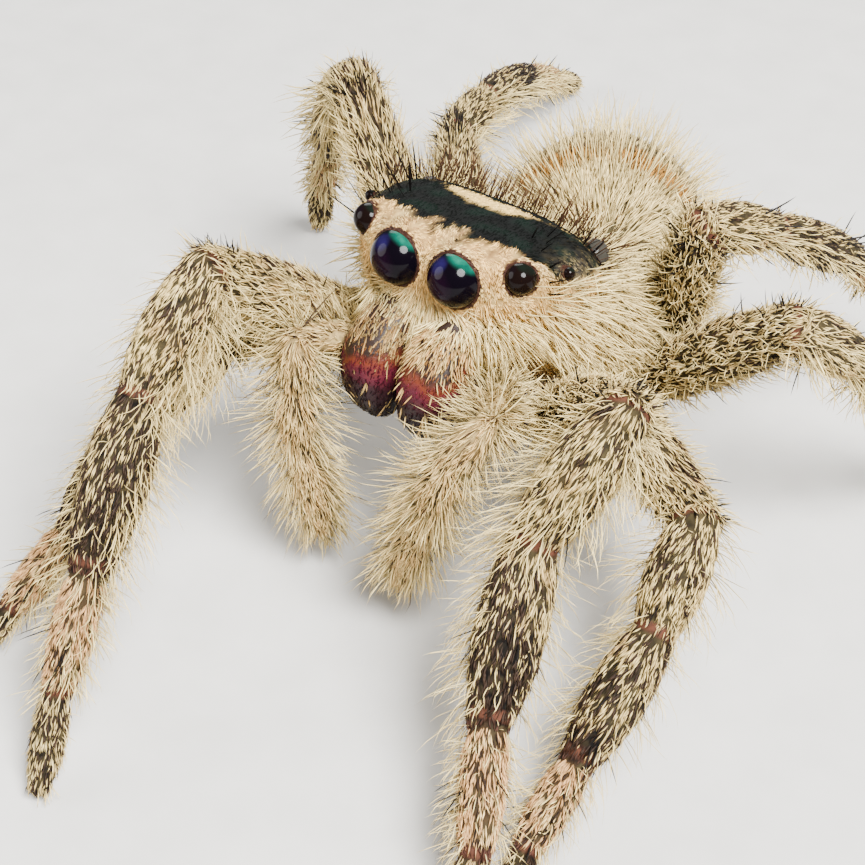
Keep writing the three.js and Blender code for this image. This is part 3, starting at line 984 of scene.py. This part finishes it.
def palp_coats():
    for side_name, surfaces in PALP_SURFACES.items():
        batches = [palp_batch(surface, *row, index == 3)
                   for index, (surface, row) in enumerate(zip(surfaces, PALP_COAT))]
        coat_piece(f"coat_palp_{side_name}", batches, HAIR_MATERIAL)


# ---- coat of the head and thorax --------------------------------------------

# In the head's frame: each left eye's middle and radius, and the way it faces.
EYE_SPOTS = (
    (0.5, 0.0, 0.0, 0.42),
    (1.33, 0.37, 0.18, 0.24),
    (1.76, 0.98, 0.2, 0.09),
    (1.48, 2.17, -0.02, 0.24),
)
EYE_AXES = ((0.06, -1.0, 0.0), (0.5, -0.85, 0.15), (0.9, -0.2, 0.3), (0.85, -0.1, 0.5))
# Where the black cap ends, and the cream bar on it: place, half length, half width.
CAP_REAR = 2.15
CAP_SPOT = (1.4, 0.74, 0.185)


def nearest_eye(p):
    """Distance from the rim of the nearest eye, and the direction away from its middle."""
    best = np.full(len(p), FAR)
    away = np.zeros_like(p)
    for x, y, z, radius in EYE_SPOTS:
        offset = p - vectors(np.sign(p[:, 0]) * x, y, z)
        gap = np.linalg.norm(offset, axis=1) - radius
        closer = gap < best
        best = np.where(closer, gap, best)
        away = np.where(closer[:, None], offset, away)
    return best, unit(away)


def cap_share(p):
    """1 on the black cap, 0 below its ragged edge and behind it."""
    x, y, z = p.T
    ragged = 0.05 * waves(p, 0.5, 11) + 0.03 * waves(p, 0.15, 12)
    border = 0.50 - 0.16 * ramp(np.abs(x), 0.2, 1.0) * ramp(y, 0.3, 0.8)
    border = border - 0.3 * ramp(y, 0.6, 1.1) - 0.14 * ramp(y, 1.2, 2.0)
    return ramp(z - border + ragged, -0.02, 0.04) * ramp(CAP_REAR - y + ragged, -0.02, 0.06)


def spot_share(p):
    """1 on the cream bar that curves across the cap."""
    x, y, z = p.T
    middle, half_length, half_width = CAP_SPOT
    across = np.abs(x) / half_length
    width = half_width * np.sqrt(np.clip(1 - across**2, 0, 1)) * (1 + 0.25 * waves(p, 0.3, 3))
    return ramp(width - np.abs(y - middle - 0.1 * across**2), -0.02, 0.02) * (z > 0.2)


def lip_share(p):
    return ramp(-p[:, 2], 0.5, 0.75) * ramp(0.9 - p[:, 1], 0, 0.4)


def hump(p, x, y, width, depth):
    """1 at x, y on both sides of the head, fading over the width and depth given."""
    return np.exp(-(((np.abs(p[:, 0]) - x) / width) ** 2 + ((p[:, 1] - y) / depth) ** 2))


def lump_share(p):
    """The grey scales between the two side eyes."""
    level = np.exp(-((p[:, 2] - 0.12) / 0.2) ** 2)
    return hump(p, 1.66, 1.15, 0.34, 0.42) * level * (spread(len(p)) < 0.75)


def head_lie(p):
    """Which way the head's scales point: round each eye, down the face, back over the cap."""
    gap, away = nearest_eye(p)
    x, y, z = p.T
    sideways = np.sign(x) * ramp(np.abs(x), 0.05, 0.7)
    down = vectors((0.55 + 0.5 * ramp(-z, 0.2, 0.6)) * sideways, 0.5 * ramp(np.abs(x), 1.1, 1.7), -1.0)
    upper = np.maximum(ramp(z, 0.3, 0.5), ramp(y, 1.9, 2.8))[:, None]
    flow = unit(down * (1 - upper) + np.array([0.0, 1.0, -0.25]) * upper)
    ring = np.cross(np.array([0.0, 1.0, 0.0]), away)
    ring = ring * np.where(dot(ring, down) < 0, -1.0, 1.0)[:, None]
    near = np.exp(-(np.maximum(gap, 0) / 0.14) ** 2)[:, None]
    return unit(flow + (away * 0.25 + ring * 1.2) * near * 1.5)


def aimed(lie, scatter=0.0):
    """Directions in the head's frame turned to the floor's, with random scatter if asked for."""
    lie_out = from_head(lie) - EYE_LINE
    return lie_out + random.normal(0, scatter, lie_out.shape) if scatter else lie_out


def head_places(per_mm2, weight=None):
    """Random places on the skin of the head and thorax, as strands need them and in the head's frame."""
    area = head_skin["area"]
    if weight is not None:
        area = area * weight(to_head(head_skin["middle"]))
    count = int(area.sum() * per_mm2)
    face = random.choice(len(area), size=count, p=area / area.sum())
    a, b, c, d = (head_skin["corners"][face, i] for i in range(4))
    s, t = random.uniform(0, 1, (2, count, 1))
    root = (a * (1 - s) + b * s) * (1 - t) + (d * (1 - s) + c * s) * t
    return (head_skin["u"][face], head_skin["v"][face], root, head_skin["normal"][face]), to_head(root), count


def head_strands(places, lie, long=True, **looks):
    u, v, root, normal = places
    return strands(SKIN_PROSOMA, u, v, lie, at=(root, normal), long=long, **looks)


def near_eyes(p):
    """Closer scales round the eyes and on the face."""
    gap, _ = nearest_eye(p)
    return (1 + 1.2 * ramp(0.2 - gap, 0.0, 0.15)) * (0.55 + 0.45 * ramp(2.2 - p[:, 1], 0, 0.4))


def head_tints(p, gap, cap, thorax, under):
    """Cream and tan face, black cap, pale cheeks and lip, speckled thorax, dark eye rims."""
    x, _, z = p.T
    streak = spread(len(p))
    cheek = ramp(np.abs(x), 1.2, 1.7) * ramp(-z, 0.2, 1.1)
    tint = mix(FACE, PALE, ramp(waves(p, 0.5, 21), -0.2, 1.0) * 0.4)
    tint = mix(tint, TAN, ramp(waves(p, 0.25, 22), 0.1, 0.9) * 0.45)
    speckle = 0.04 + 0.3 * ramp(z, 0.15, 0.4) + 0.1 * cheek
    tint = mix(tint, mix(UMBER, FACE, 0.15), (streak < speckle) * 0.85)
    tint = mix(tint, mix(CREAM, PALE, streak), np.maximum(cheek, lip_share(p)) * 0.8)
    tint = mix(tint, mix(CREAM, mix(BLACK, UMBER, 0.3), (streak < 0.34) * 1.0), thorax)
    tint = mix(tint, mix(VELVET, TEAL_BLACK, ramp(waves(p, 0.5, 23), -0.2, 1.0) * 0.8), cap)
    tint = mix(tint, mix(SLATE * 0.5, CREAM, 0.5 * (streak > 0.7)), lump_share(p))
    tint = mix(tint, mix(JOINT, BLACK, 0.6), (gap < 0.02) * 1.0)
    return mix(tint, mix(SLATE, CREAM, 0.35), under)


def head_coat():
    """Flat scales in three pieces, with the longer hairs of the face and of the thorax, then moustache and
    bristles.
    """
    places, p, number = head_places(900, near_eyes)
    x, y, z = p.T
    gap, _ = nearest_eye(p)
    cap, spot, lip = cap_share(p), spot_share(p), lip_share(p)
    thorax = ramp(y, 2.1, 2.8) * (1 - cap)
    under = ramp(-z, 1.6, 2.3)
    cheek = ramp(np.abs(x), 1.15, 1.6) * ramp(-z, 0.1, 1.1)
    tint = mix(head_tints(p, gap, cap, thorax, under), mix(PEACH, PALE, spread(number, 0.0, 0.3)), spot)
    length = 0.145 + 0.15 * thorax + 0.12 * under + 0.12 * cheek + 0.1 * lip - 0.05 * cap
    length = np.where(gap < 0.08, 0.1, length) * spread(number, 0.75, 1.25)
    lift = np.radians(9 - 2 * cap + 14 * lip + 14 * cheek) * spread(number, 0.5, 1.5)
    keep = (gap > 0.004) & (spread(number) < 1 - 0.5 * np.maximum(thorax, under))
    looks = {
        "lie": aimed(head_lie(p), 0.12), "length": length, "width": spread(number, 0.022, 0.034),
        "lift": lift, "drop": spread(number, 0.04, 0.16), "sway": random.normal(0, 0.05, number),
        "tint": varied(tint, 0.11), "keep": keep,
    }
    black = (cap > 0.5) & (spot < 0.5)
    pieces = (
        ("coat_cap", black, [], VELVET_MATERIAL),
        ("coat_face", ~black & (y < 1.7), [face_fur()], SCALE_MATERIAL),
        ("coat_thorax", ~black & (y >= 1.7), [cheek_hairs(), thorax_hairs()], SCALE_MATERIAL),
    )
    for name, part, longer, material in pieces:
        picked = {key: value[part] for key, value in looks.items()}
        flat = head_strands([value[part] for value in places], long=False, **picked)
        coat_piece(name, [flat, *longer], material)
    coat_piece("coat_moustache", [moustache()], HAIR_MATERIAL)
    coat_piece("bristles", [brow_bristles(), cap_bristles(), long_bristles()], VELVET_MATERIAL)


def face_fur():
    """Half-long hairs below and beside the eyes, between the flat scales and the long fringe."""
    places, p, number = head_places(420)
    _, y, z = p.T
    amount = ramp(-z, -0.15, 0.55) * ramp(2.0 - y, 0.0, 0.4) * ramp(z, -1.5, -1.1)
    keep = (spread(number) < 0.85 * amount) & (nearest_eye(p)[0] > 0.04)
    low = ramp(-z, 0.0, 0.65)
    lie = aimed(head_lie(p), 0.2)
    tint = mix(mix(FACE, TAN, spread(number, 0.0, 0.7)), PALE, low * spread(number, 0.3, 1.0))
    return head_strands(
        places, lie, keep=keep, length=(0.17 + 0.2 * low) * spread(number, 0.75, 1.25),
        **bends(number, (0.018, 0.03), (8 + 16 * low, 22 + 16 * low), (0.0, 0.12), 0.08), tint=varied(tint),
    )


# Where the moustache parts, a little to the spider's left of the middle.
PARTING = 0.05


def moustache():
    """Long pale hairs on the lip, that sweep down and outward over the jaws."""
    places, p, number = head_places(1500)
    x, y, z = p.T
    lip = ramp(-z, 0.42, 0.70) * ramp(0.75 - y, 0.0, 0.35) * ramp(z, -1.2, -1.0)
    keep = (spread(number) < lip) & (nearest_eye(p)[0] > 0.03)
    side = np.where(x > PARTING, 0.85, -0.3) * ramp(np.abs(x - PARTING), 0.0, 0.45)
    lie = aimed(vectors(side, -0.8, -0.8), 0.13)
    low = ramp(-z, 0.42, 0.78)
    before_jaws = ramp(1.1 - np.abs(x), 0.0, 0.4)
    lift = np.radians(spread(number, 10, 24) + (8 + 50 * before_jaws) * low)
    return head_strands(
        places, lie, keep=keep, length=(0.22 + 0.48 * low) * spread(number, 0.7, 1.25),
        width=spread(number, 0.020, 0.034), lift=lift, drop=spread(number, 0.0, 0.1),
        sway=random.normal(0, 0.08, number), pull=aimed(vectors(np.zeros(number), 0.02, -0.32)),
        tint=pale(number, 0.3, BRIGHT),
    )


def cheek_hairs():
    """Long pale hairs that fan back and outward from the sides of the head."""
    places, p, number = head_places(280)
    x, y, z = p.T
    amount = ramp(np.abs(x), 1.3, 1.75) * ramp(-z, -0.2, 0.4) * ramp(4.4 - y, 0, 1.2)
    keep = (spread(number) < amount * 0.75) & (z > -2.5)
    lie = vectors(0.7 * np.sign(x), 0.55, 0.2 - 0.95 * ramp(-z, 0.1, 0.8))
    return head_strands(
        places, aimed(lie, 0.25), keep=keep, length=spread(number, 0.45, 1.05),
        **bends(number, (0.018, 0.028), (26, 66), (0.0, 0.25), 0.13), tint=pale(number, 0.2),
    )


def brow_bristles():
    """Black bristles that fan up and outward over the front side eyes and by the rear eyes."""
    places, p, number = head_places(60)
    x, _, z = p.T
    corner = hump(p, 1.35, 0.7, 0.28, 0.4) * (z > 0.2) * np.where(x < 0, 1.0, 0.4)
    rear = hump(p, 1.35, 1.7, 0.3, 0.3) * (z > 0.0)
    keep = (spread(number) < np.maximum(corner * 0.75, rear * 0.08)) & (nearest_eye(p)[0] > 0.03)
    tall = spread(number) < 0.22 * corner
    return head_strands(
        places, aimed(vectors(0.9 * np.sign(x), 0.35, 0.3), 0.22), keep=keep,
        length=np.where(tall, 1.15, 0.45) * spread(number, 0.7, 1.15), width=np.where(tall, 0.032, 0.017),
        lift=np.radians(spread(number, 42, 72)), drop=spread(number, -0.1, 0.12),
        sway=random.normal(0, 0.06, number), tint=plain(number, BLACK * 0.5),
    )


# Longest bristles: where they stand on the head, which way they point, how long.
LONG_BRISTLES = (
    ((1.26, 1.06, 0.55), (0.78, -0.1, 0.8), 1.3),
    ((1.18, 1.22, 0.58), (0.6, 0.0, 0.85), 0.95),
    ((1.32, 0.9, 0.5), (0.62, -0.1, 0.7), 0.7),
    ((1.1, 1.0, 0.6), (0.2, -0.1, 0.9), 0.6),
    ((1.7, 0.57, -0.03), (1.0, 0.0, 0.25), 1.0),
    ((1.66, 0.66, 0.12), (0.9, 0.1, 0.55), 0.75),
    ((1.55, 0.75, 0.3), (0.8, 0.1, 0.8), 0.6),
    ((1.5, 1.75, 0.3), (0.3, 0.1, 0.9), 0.75),
    ((1.62, 1.9, 0.1), (0.5, 0.2, 0.8), 0.65),
)
# How long the same bristles are on the spider's left side, as a share.
LEFT_SHARE = 0.55


def long_bristles():
    """The few longest black bristles, on both sides, each at the nearest place on the skin."""
    middles = to_head(head_skin["middle"])
    nearest, aims, reach = [], [], []
    for place, aim, length in LONG_BRISTLES:
        for sign, share in ((-1.0, 1.0), (1.0, LEFT_SHARE)):
            flip = np.array([sign, 1.0, 1.0])
            nearest.append(int(np.argmin(np.linalg.norm(middles - place * flip, axis=1))))
            aims.append(aim * flip)
            reach.append(length * share)
    number = len(nearest)
    places = [head_skin[key][nearest] for key in ("u", "v", "middle", "normal")]
    aim = unit(aimed(np.array(aims), 0.05))
    lift = np.arcsin(np.clip(dot(aim, places[-1]), 0.25, 0.97))
    return head_strands(
        places, aim, length=np.array(reach) * spread(number, 0.92, 1.08), width=spread(number, 0.026, 0.034),
        lift=lift, drop=spread(number, -0.04, 0.12), sway=random.normal(0, 0.04, number),
        tint=plain(number, BLACK * 0.4),
    )


def cap_bristles():
    """Fine dark hairs that stand along the rear edge of the cap."""
    places, p, number = head_places(90)
    x, y, z = p.T
    keep = spread(number) < 0.9 * ramp(y, 1.6, 1.9) * ramp(2.8 - y, 0.0, 0.4) * (z > -0.25)
    return head_strands(
        places, aimed(vectors(0.1 * np.sign(x), -0.4, 0.5), 0.5), keep=keep, length=spread(number, 0.4, 0.85),
        **bends(number, (0.013, 0.018), (68, 89), (-0.1, 0.1), 0.06),
        tint=plain(number, mix(BLACK, UMBER, 0.3)),
    )


def thorax_hairs():
    """Long pale hairs that lean back over the thorax."""
    places, p, number = head_places(110)
    x, y, z = p.T
    keep = (y > 2.0) & (z > -2.3) & (spread(number) < 0.6)
    return head_strands(
        places, aimed(vectors(0.3 * np.sign(x), 1.0, -0.3), 0.3), keep=keep, length=spread(number, 0.4, 0.9),
        **bends(number, (0.016, 0.024), (25, 70), (0.05, 0.3), 0.12), tint=pale(number, 0.1),
    )


# ---- coat of the abdomen and the jaws ---------------------------------------


def abdomen_tints(root, u, v):
    """Bright front, a rust band that fades at its middle, and mottled grey and cream with dark pairs."""
    number = len(root)
    angle = (v % 1.0) * 2 * math.pi - math.pi / 2
    angle = np.abs(np.where(angle > math.pi, angle - 2 * math.pi, angle))
    place = eased(u) + 0.02 * waves(root, 0.8, 41)
    streak = spread(number)
    top = ramp(1.5 - angle, 0.0, 0.25)
    mottled = mix(CREAM, mix(OLIVE, SLATE, 0.4), ramp(waves(root, 0.8, 42), -0.3, 0.8))
    tint = mix(mottled, BLACK, (streak < 0.12) * 0.8)
    rust = ramp(place, 0.20, 0.24) * ramp(0.37 - place, 0.0, 0.05) * ramp(1.3 - angle, 0, 0.2)
    tint = mix(tint, mix(RUST, UMBER, streak * 0.5), rust * (0.45 + 0.55 * ramp(angle, 0.08, 0.2)))
    for centre, half in ((0.38, 0.34), (0.53, 0.36), (0.67, 0.36), (0.79, 0.34)):
        spot = np.exp(-((place - centre) / 0.03) ** 2 - ((angle - half) / 0.16) ** 2)
        tint = mix(tint, mix(BLACK, UMBER, 0.2), np.clip(spot * 2.0, 0, 1) * 0.95)
        light = np.exp(-((place - centre - 0.055) / 0.028) ** 2 - ((angle - half * 0.9) / 0.2) ** 2)
        tint = mix(tint, PALE, np.clip(light * 1.3, 0, 1) * 0.7 * top)
    front = ramp(0.22 - place, 0.0, 0.05)
    tint = mix(tint, mix(CREAM, PALE, 0.2 + 0.6 * streak), front * 0.92)
    flank = ramp(angle, 1.4, 2.0)
    tint = mix(tint, mix(CREAM, SLATE, 0.25 * streak), flank * 0.8)
    return varied(tint)


# Hairs of the abdomen: per mm2, share kept below, length, bends, side lean, and if they show its pattern.
ABDOMEN_HAIRS = (
    (300, 0.62, (0.3, 0.52), ((0.024, 0.036), (9, 26), (0.05, 0.2), 0.08), 0.18, True),
    (34, 0.3, (0.6, 1.3), ((0.016, 0.025), (40, 82), (0.0, 0.25), 0.1), 0.3, False),
)


def abdomen_coat():
    surface = SKIN_ABDOMEN
    for name, lower in (("coat_abdomen_top", False), ("coat_abdomen_under", True)):
        batches = []
        for per_mm2, below, length, looks, lean, patterned in ABDOMEN_HAIRS:
            u, v = surface.scatter(per_mm2, rows=90, columns=80)
            root, normal, _, _ = surface.frame_at(u, v)
            number = len(u)
            keep = ((normal[:, 2] < -0.15) == lower) & (spread(number) < (below if lower else 1.0))
            batches.append(strands(
                surface, u, v, combed(lean), keep=keep, long=True,
                length=spread(number, *length), **bends(number, *looks),
                tint=abdomen_tints(root, u, v) if patterned else pale(number, 0.2),
            ))
        coat_piece(name, batches, HAIR_MATERIAL)


def jaw_coats():
    """Tan scales at the top of each jaw, a pale fringe under the lip, and short reddish hairs below."""
    for side_name, surface in JAWS.items():
        u, v = surface.scatter(560)
        number = len(u)
        scales = spread(number) < ramp(0.46 - u, 0.0, 0.22) * 0.85 * ramp(u, 0.02, 0.12) + 0.035
        batches = [strands(
            surface, u, v, combed(0.2), keep=scales, long=True, length=spread(number, 0.14, 0.32),
            **bends(number, (0.02, 0.036), (8, 34), (0.0, 0.12), 0.08),
            tint=varied(mix(mix(TAN, UMBER, 0.35), CREAM, spread(number, 0.0, 0.8))),
        )]
        fringe = (spread(number) < 0.9 * ramp(0.22 - u, 0.0, 0.08)) & ~scales
        batches.append(strands(
            surface, u, v, combed(0.16), keep=fringe, long=True, length=spread(number, 0.24, 0.44),
            **bends(number, (0.022, 0.034), (12, 36), (0.05, 0.2), 0.08), tint=pale(number, 0.3, BRIGHT),
        ))
        red = mix(mix(RUST, UMBER, 0.5) * 0.8, shade(92, 20, 40), ramp(u, 0.3, 0.55))
        red = mix(red, shade(30, 8, 12), ramp(u, 0.5, 0.75))
        short = (spread(number) < 0.55) & ~scales & ~fringe & (u > 0.12)
        batches.append(strands(
            surface, u, v, combed(0.25), keep=short,
            length=spread(number, 0.1, 0.2) * (1 - 0.3 * ramp(u, 0.2, 0.5)),
            **bends(number, (0.014, 0.024), (6, 24), (0.0, 0.12), 0.08), tint=varied(red, 0.2),
        ))
        coat_piece(f"coat_jaw_{side_name}", batches, HAIR_MATERIAL)


# ---- skin, eyes and jaws ----------------------------------------------------

VOXEL = 0.072
SMOOTHINGS = 4
# Where the four spinnerets stand round the tail: across and up.
SPINNERETS = ((0.12, 0.1), (-0.12, 0.1), (0.13, -0.1), (-0.13, -0.1))
# How far each eye's socket sits behind it, and how big it is, as shares of the eye's radius.
SOCKET_DEPTH, SOCKET_SIZE = 0.476, 1.235
SOFT_NODES = ["cephalothorax", "abdomen", "waist", "spinnerets"]
SOFT_NODES += [f"palp_{side}_{part}" for side in SIDES for part in ("base", "middle", "tip")]
SOFT_NODES += [f"{leg}_{side}_{segment}" for leg in LEGS for side in SIDES for segment in SEGMENTS]


def ball_grid(centre, radius, columns=16, rows=10):
    """A closed ball, as vertices and faces."""
    def place(u, v):
        polar = u * math.pi
        ring = np.stack([np.sin(polar) * np.cos(v * 2 * math.pi), np.sin(polar) * np.sin(v * 2 * math.pi),
                         np.cos(polar)], axis=-1)
        return centre + radius * ring
    return Surface(place).grid(rows, columns)


def skin_parts():
    """Closed meshes of every part of flesh, which overlap each other."""
    parts = [SKIN_PROSOMA.grid(60, 48), SKIN_ABDOMEN.grid(40, 40)]
    parts += [surface.grid(24, 24) for surface in LIMBS]
    back_end = ABDOMEN_FRONT + GROUND_SHIFT
    waist_start, waist_end = back_end - ABDOMEN_AXIS * 0.7, back_end + ABDOMEN_AXIS * 0.8
    parts.append(rod_surface(waist_start, waist_end, 0.34, 0.04).grid(16, 20))
    tail = back_end + ABDOMEN_AXIS * ABDOMEN_LENGTH
    across, upward = cross_directions(ABDOMEN_AXIS)
    for x, z in SPINNERETS:
        foot_of = tail - ABDOMEN_AXIS * 0.6 + across * x + upward * z
        tip = foot_of + ABDOMEN_AXIS * 0.85 + (across * x + upward * z) * 0.4
        parts.append(rod_surface(foot_of, tip, 0.13, 0.0).grid(14, 14))
    for sign in SIDES.values():
        x, y, z, radius = EYE_MOUND
        parts.append(ball_grid(from_head(np.array([sign * x, y, z])), radius - HEAD_COAT * 0.5))
        for (*middle, radius), axis in zip(EYE_SPOTS, EYE_AXES):
            socket = np.array(middle) - unit(np.array(axis)) * radius * SOCKET_DEPTH
            parts.append(ball_grid(from_head(socket * [sign, 1, 1]), radius * SOCKET_SIZE))
    return parts


def build_skin():
    """Every part of flesh, remeshed into a single seamless surface."""
    points, faces, offset = [], [], 0
    for part_points, part_faces in skin_parts():
        points.append(part_points)
        faces += [tuple(index + offset for index in face) for face in part_faces]
        offset += len(part_points)
    skin = make_mesh("skin", np.concatenate(points) / MM, faces)
    remesh = skin.modifiers.new("join", "REMESH")
    remesh.mode = "VOXEL"
    remesh.voxel_size = VOXEL
    smooth = skin.modifiers.new("soften", "SMOOTH")
    smooth.factor = 0.5
    smooth.iterations = SMOOTHINGS
    done = bpy.data.meshes.new_from_object(skin.evaluated_get(bpy.context.evaluated_depsgraph_get()))
    done.name = "skin"
    skin.modifiers.clear()
    skin.data = done
    done.transform(Matrix.Scale(MM, 4))
    return skin


def paint_skin(skin):
    """The skin takes the markings of the coat that grows nearest, darker, partly its own dark colour and
    partly painted shade between the hairs, and bare red-brown joints.
    """
    tree = tree_of(np.concatenate(skin_roots))
    tints = np.concatenate(skin_tints)
    points = mesh_points(skin.data)
    colours = np.empty(points.shape)
    for index, point in enumerate(points.tolist()):
        near = [found[1] for found in tree.find_n(point, 3)]
        colours[index] = tints[near].mean(axis=0)
    p = to_head(points)
    face = ramp(2.4 - p[:, 1], 0.0, 0.6) * ramp(p[:, 2], -2.0, -1.4) * ramp(2.2 - np.abs(p[:, 0]), 0.0, 0.2)
    # Much darker than the coat: the skin's own dark colour and partly painted shade between the hairs, less
    # dark on the face.
    colours = colours * (0.06 + 0.5 * face)[:, None] + 0.002
    for surfaces in LEG_SURFACES.values():
        for surface in surfaces[:-1]:
            joint, bend = surface.crease_out
            level = np.abs((points - joint) @ bend)
            near = np.linalg.norm(points - joint, axis=1) < surface.radius * 1.5
            colours = mix(colours, JOINT * 0.7, near * ramp(0.09 - level, 0.0, 0.05))
    gap, _ = nearest_eye(p)
    colours = mix(colours, JOINT * 0.22, ramp(0.06 - gap, 0.0, 0.03))
    paint(skin.data, colours)


def build_eyes():
    # The second number is how strong each lens's painted reflections are.
    main = eye_material("eye_lens", 0.9, shade(5, 3, 7))
    side = eye_material("side_eye_lens", 0.04, shade(12, 6, 5))
    # The rear eyes' grey is a painted grey sheen over a dark lens, with no streaked painted reflections.
    rear = eye_material("rear_eye_lens", 0.0, shade(50, 48, 43))
    names = ("front_middle", "front_side", "small_side", "rear_side")
    for side_name, sign in SIDES.items():
        for name, (x, y, z, radius) in zip(names, EYE_SPOTS):
            node = f"eye_{name}_{side_name}"
            points, faces = ball_grid(from_head(np.array([sign * x, y, z])), radius, 48, 33)
            piece = make_mesh(f"lens_{name}_{side_name}", points, faces)
            material = {"front_middle": main, "rear_side": rear}.get(name, side)
            finish_piece(piece, material, [node])


def build_jaws():
    material = jaw_material()
    for side_name, surface in JAWS.items():
        points, faces = surface.grid(60, 48)
        piece = make_mesh(f"jaw_shell_{side_name}", points, faces)
        finish_piece(piece, material, [f"jaw_{side_name}"])


# ---- stage, light and camera ------------------------------------------------

# The camera's distance from the eyes and how far right and up of its line they are, in mm,
# and its pixels per mm there.
VIEW_DISTANCE = 28.04
VIEW_OFFSET = (-0.073, 2.364)
VIEW_SCALE = 69.94
FRAME_PIXELS = 865


FLOOR_REACH = 400.0


def build_stage():
    corners = [(x * FLOOR_REACH, y * FLOOR_REACH, 0) for x, y in ((-1, -1), (1, -1), (1, 1), (-1, 1))]
    floor = make_mesh("floor", corners, [(0, 1, 2, 3)])
    shader = Shader("floor_card")
    greys = [(0.3, shade(186, 184, 179)), (0.7, shade(194, 192, 187))]
    shader.surface(Base_Color=shader.colours(shader.noise(900, 3.0), greys), Roughness=0.9)
    floor.data.materials.append(shader.material)


def build_lights():
    target = EYE_LINE * MM
    for name, place, size, power in (
        ("key", (50, -20, 75), 50, 0.56),
        ("fill", (-70, -50, 35), 70, 0.10),
        ("rim", (-60, 70, 50), 60, 0.08),
    ):
        light = bpy.data.lights.new(name, "AREA")
        light.shape = "DISK"
        light.size = size * MM
        light.energy = power
        lamp = bpy.data.objects.new(name, light)
        lamp.location = Vector(target) + Vector(place) * MM
        lamp.rotation_euler = (-Vector(place)).to_track_quat("-Z", "Y").to_euler()
        bpy.context.collection.objects.link(lamp)
    world = bpy.data.worlds.new("studio")
    world.use_nodes = True
    world.node_tree.nodes["Background"].inputs["Color"].default_value = (0.92, 0.91, 0.9, 1)
    world.node_tree.nodes["Background"].inputs["Strength"].default_value = 0.24
    bpy.context.scene.world = world


def build_camera():
    back = VIEW_SIDE
    right = np.array([math.cos(VIEW_TURN), math.sin(VIEW_TURN), 0.0])
    up = np.cross(back, right)
    place = EYE_LINE + back * VIEW_DISTANCE - right * VIEW_OFFSET[0] - up * VIEW_OFFSET[1]
    data = bpy.data.cameras.new("camera")
    data.sensor_width = 36.0
    data.lens = data.sensor_width * VIEW_SCALE * VIEW_DISTANCE / FRAME_PIXELS
    data.clip_start = 0.0005
    data.clip_end = 10.0
    camera = bpy.data.objects.new("camera", data)
    camera.location = Vector(place) * MM
    camera.rotation_euler = Matrix((right, up, back)).transposed().to_euler()
    bpy.context.collection.objects.link(camera)
    bpy.context.scene.camera = camera


# ---- putting it together ----------------------------------------------------

build_camera()
build_stage()
build_lights()
skin_piece = build_skin()
head_skin = head_faces(read_skin(skin_piece))
leg_coats()
palp_coats()
head_coat()
abdomen_coat()
jaw_coats()
paint_skin(skin_piece)
finish_piece(skin_piece, SKIN_MATERIAL, SOFT_NODES)
build_eyes()
build_jaws()
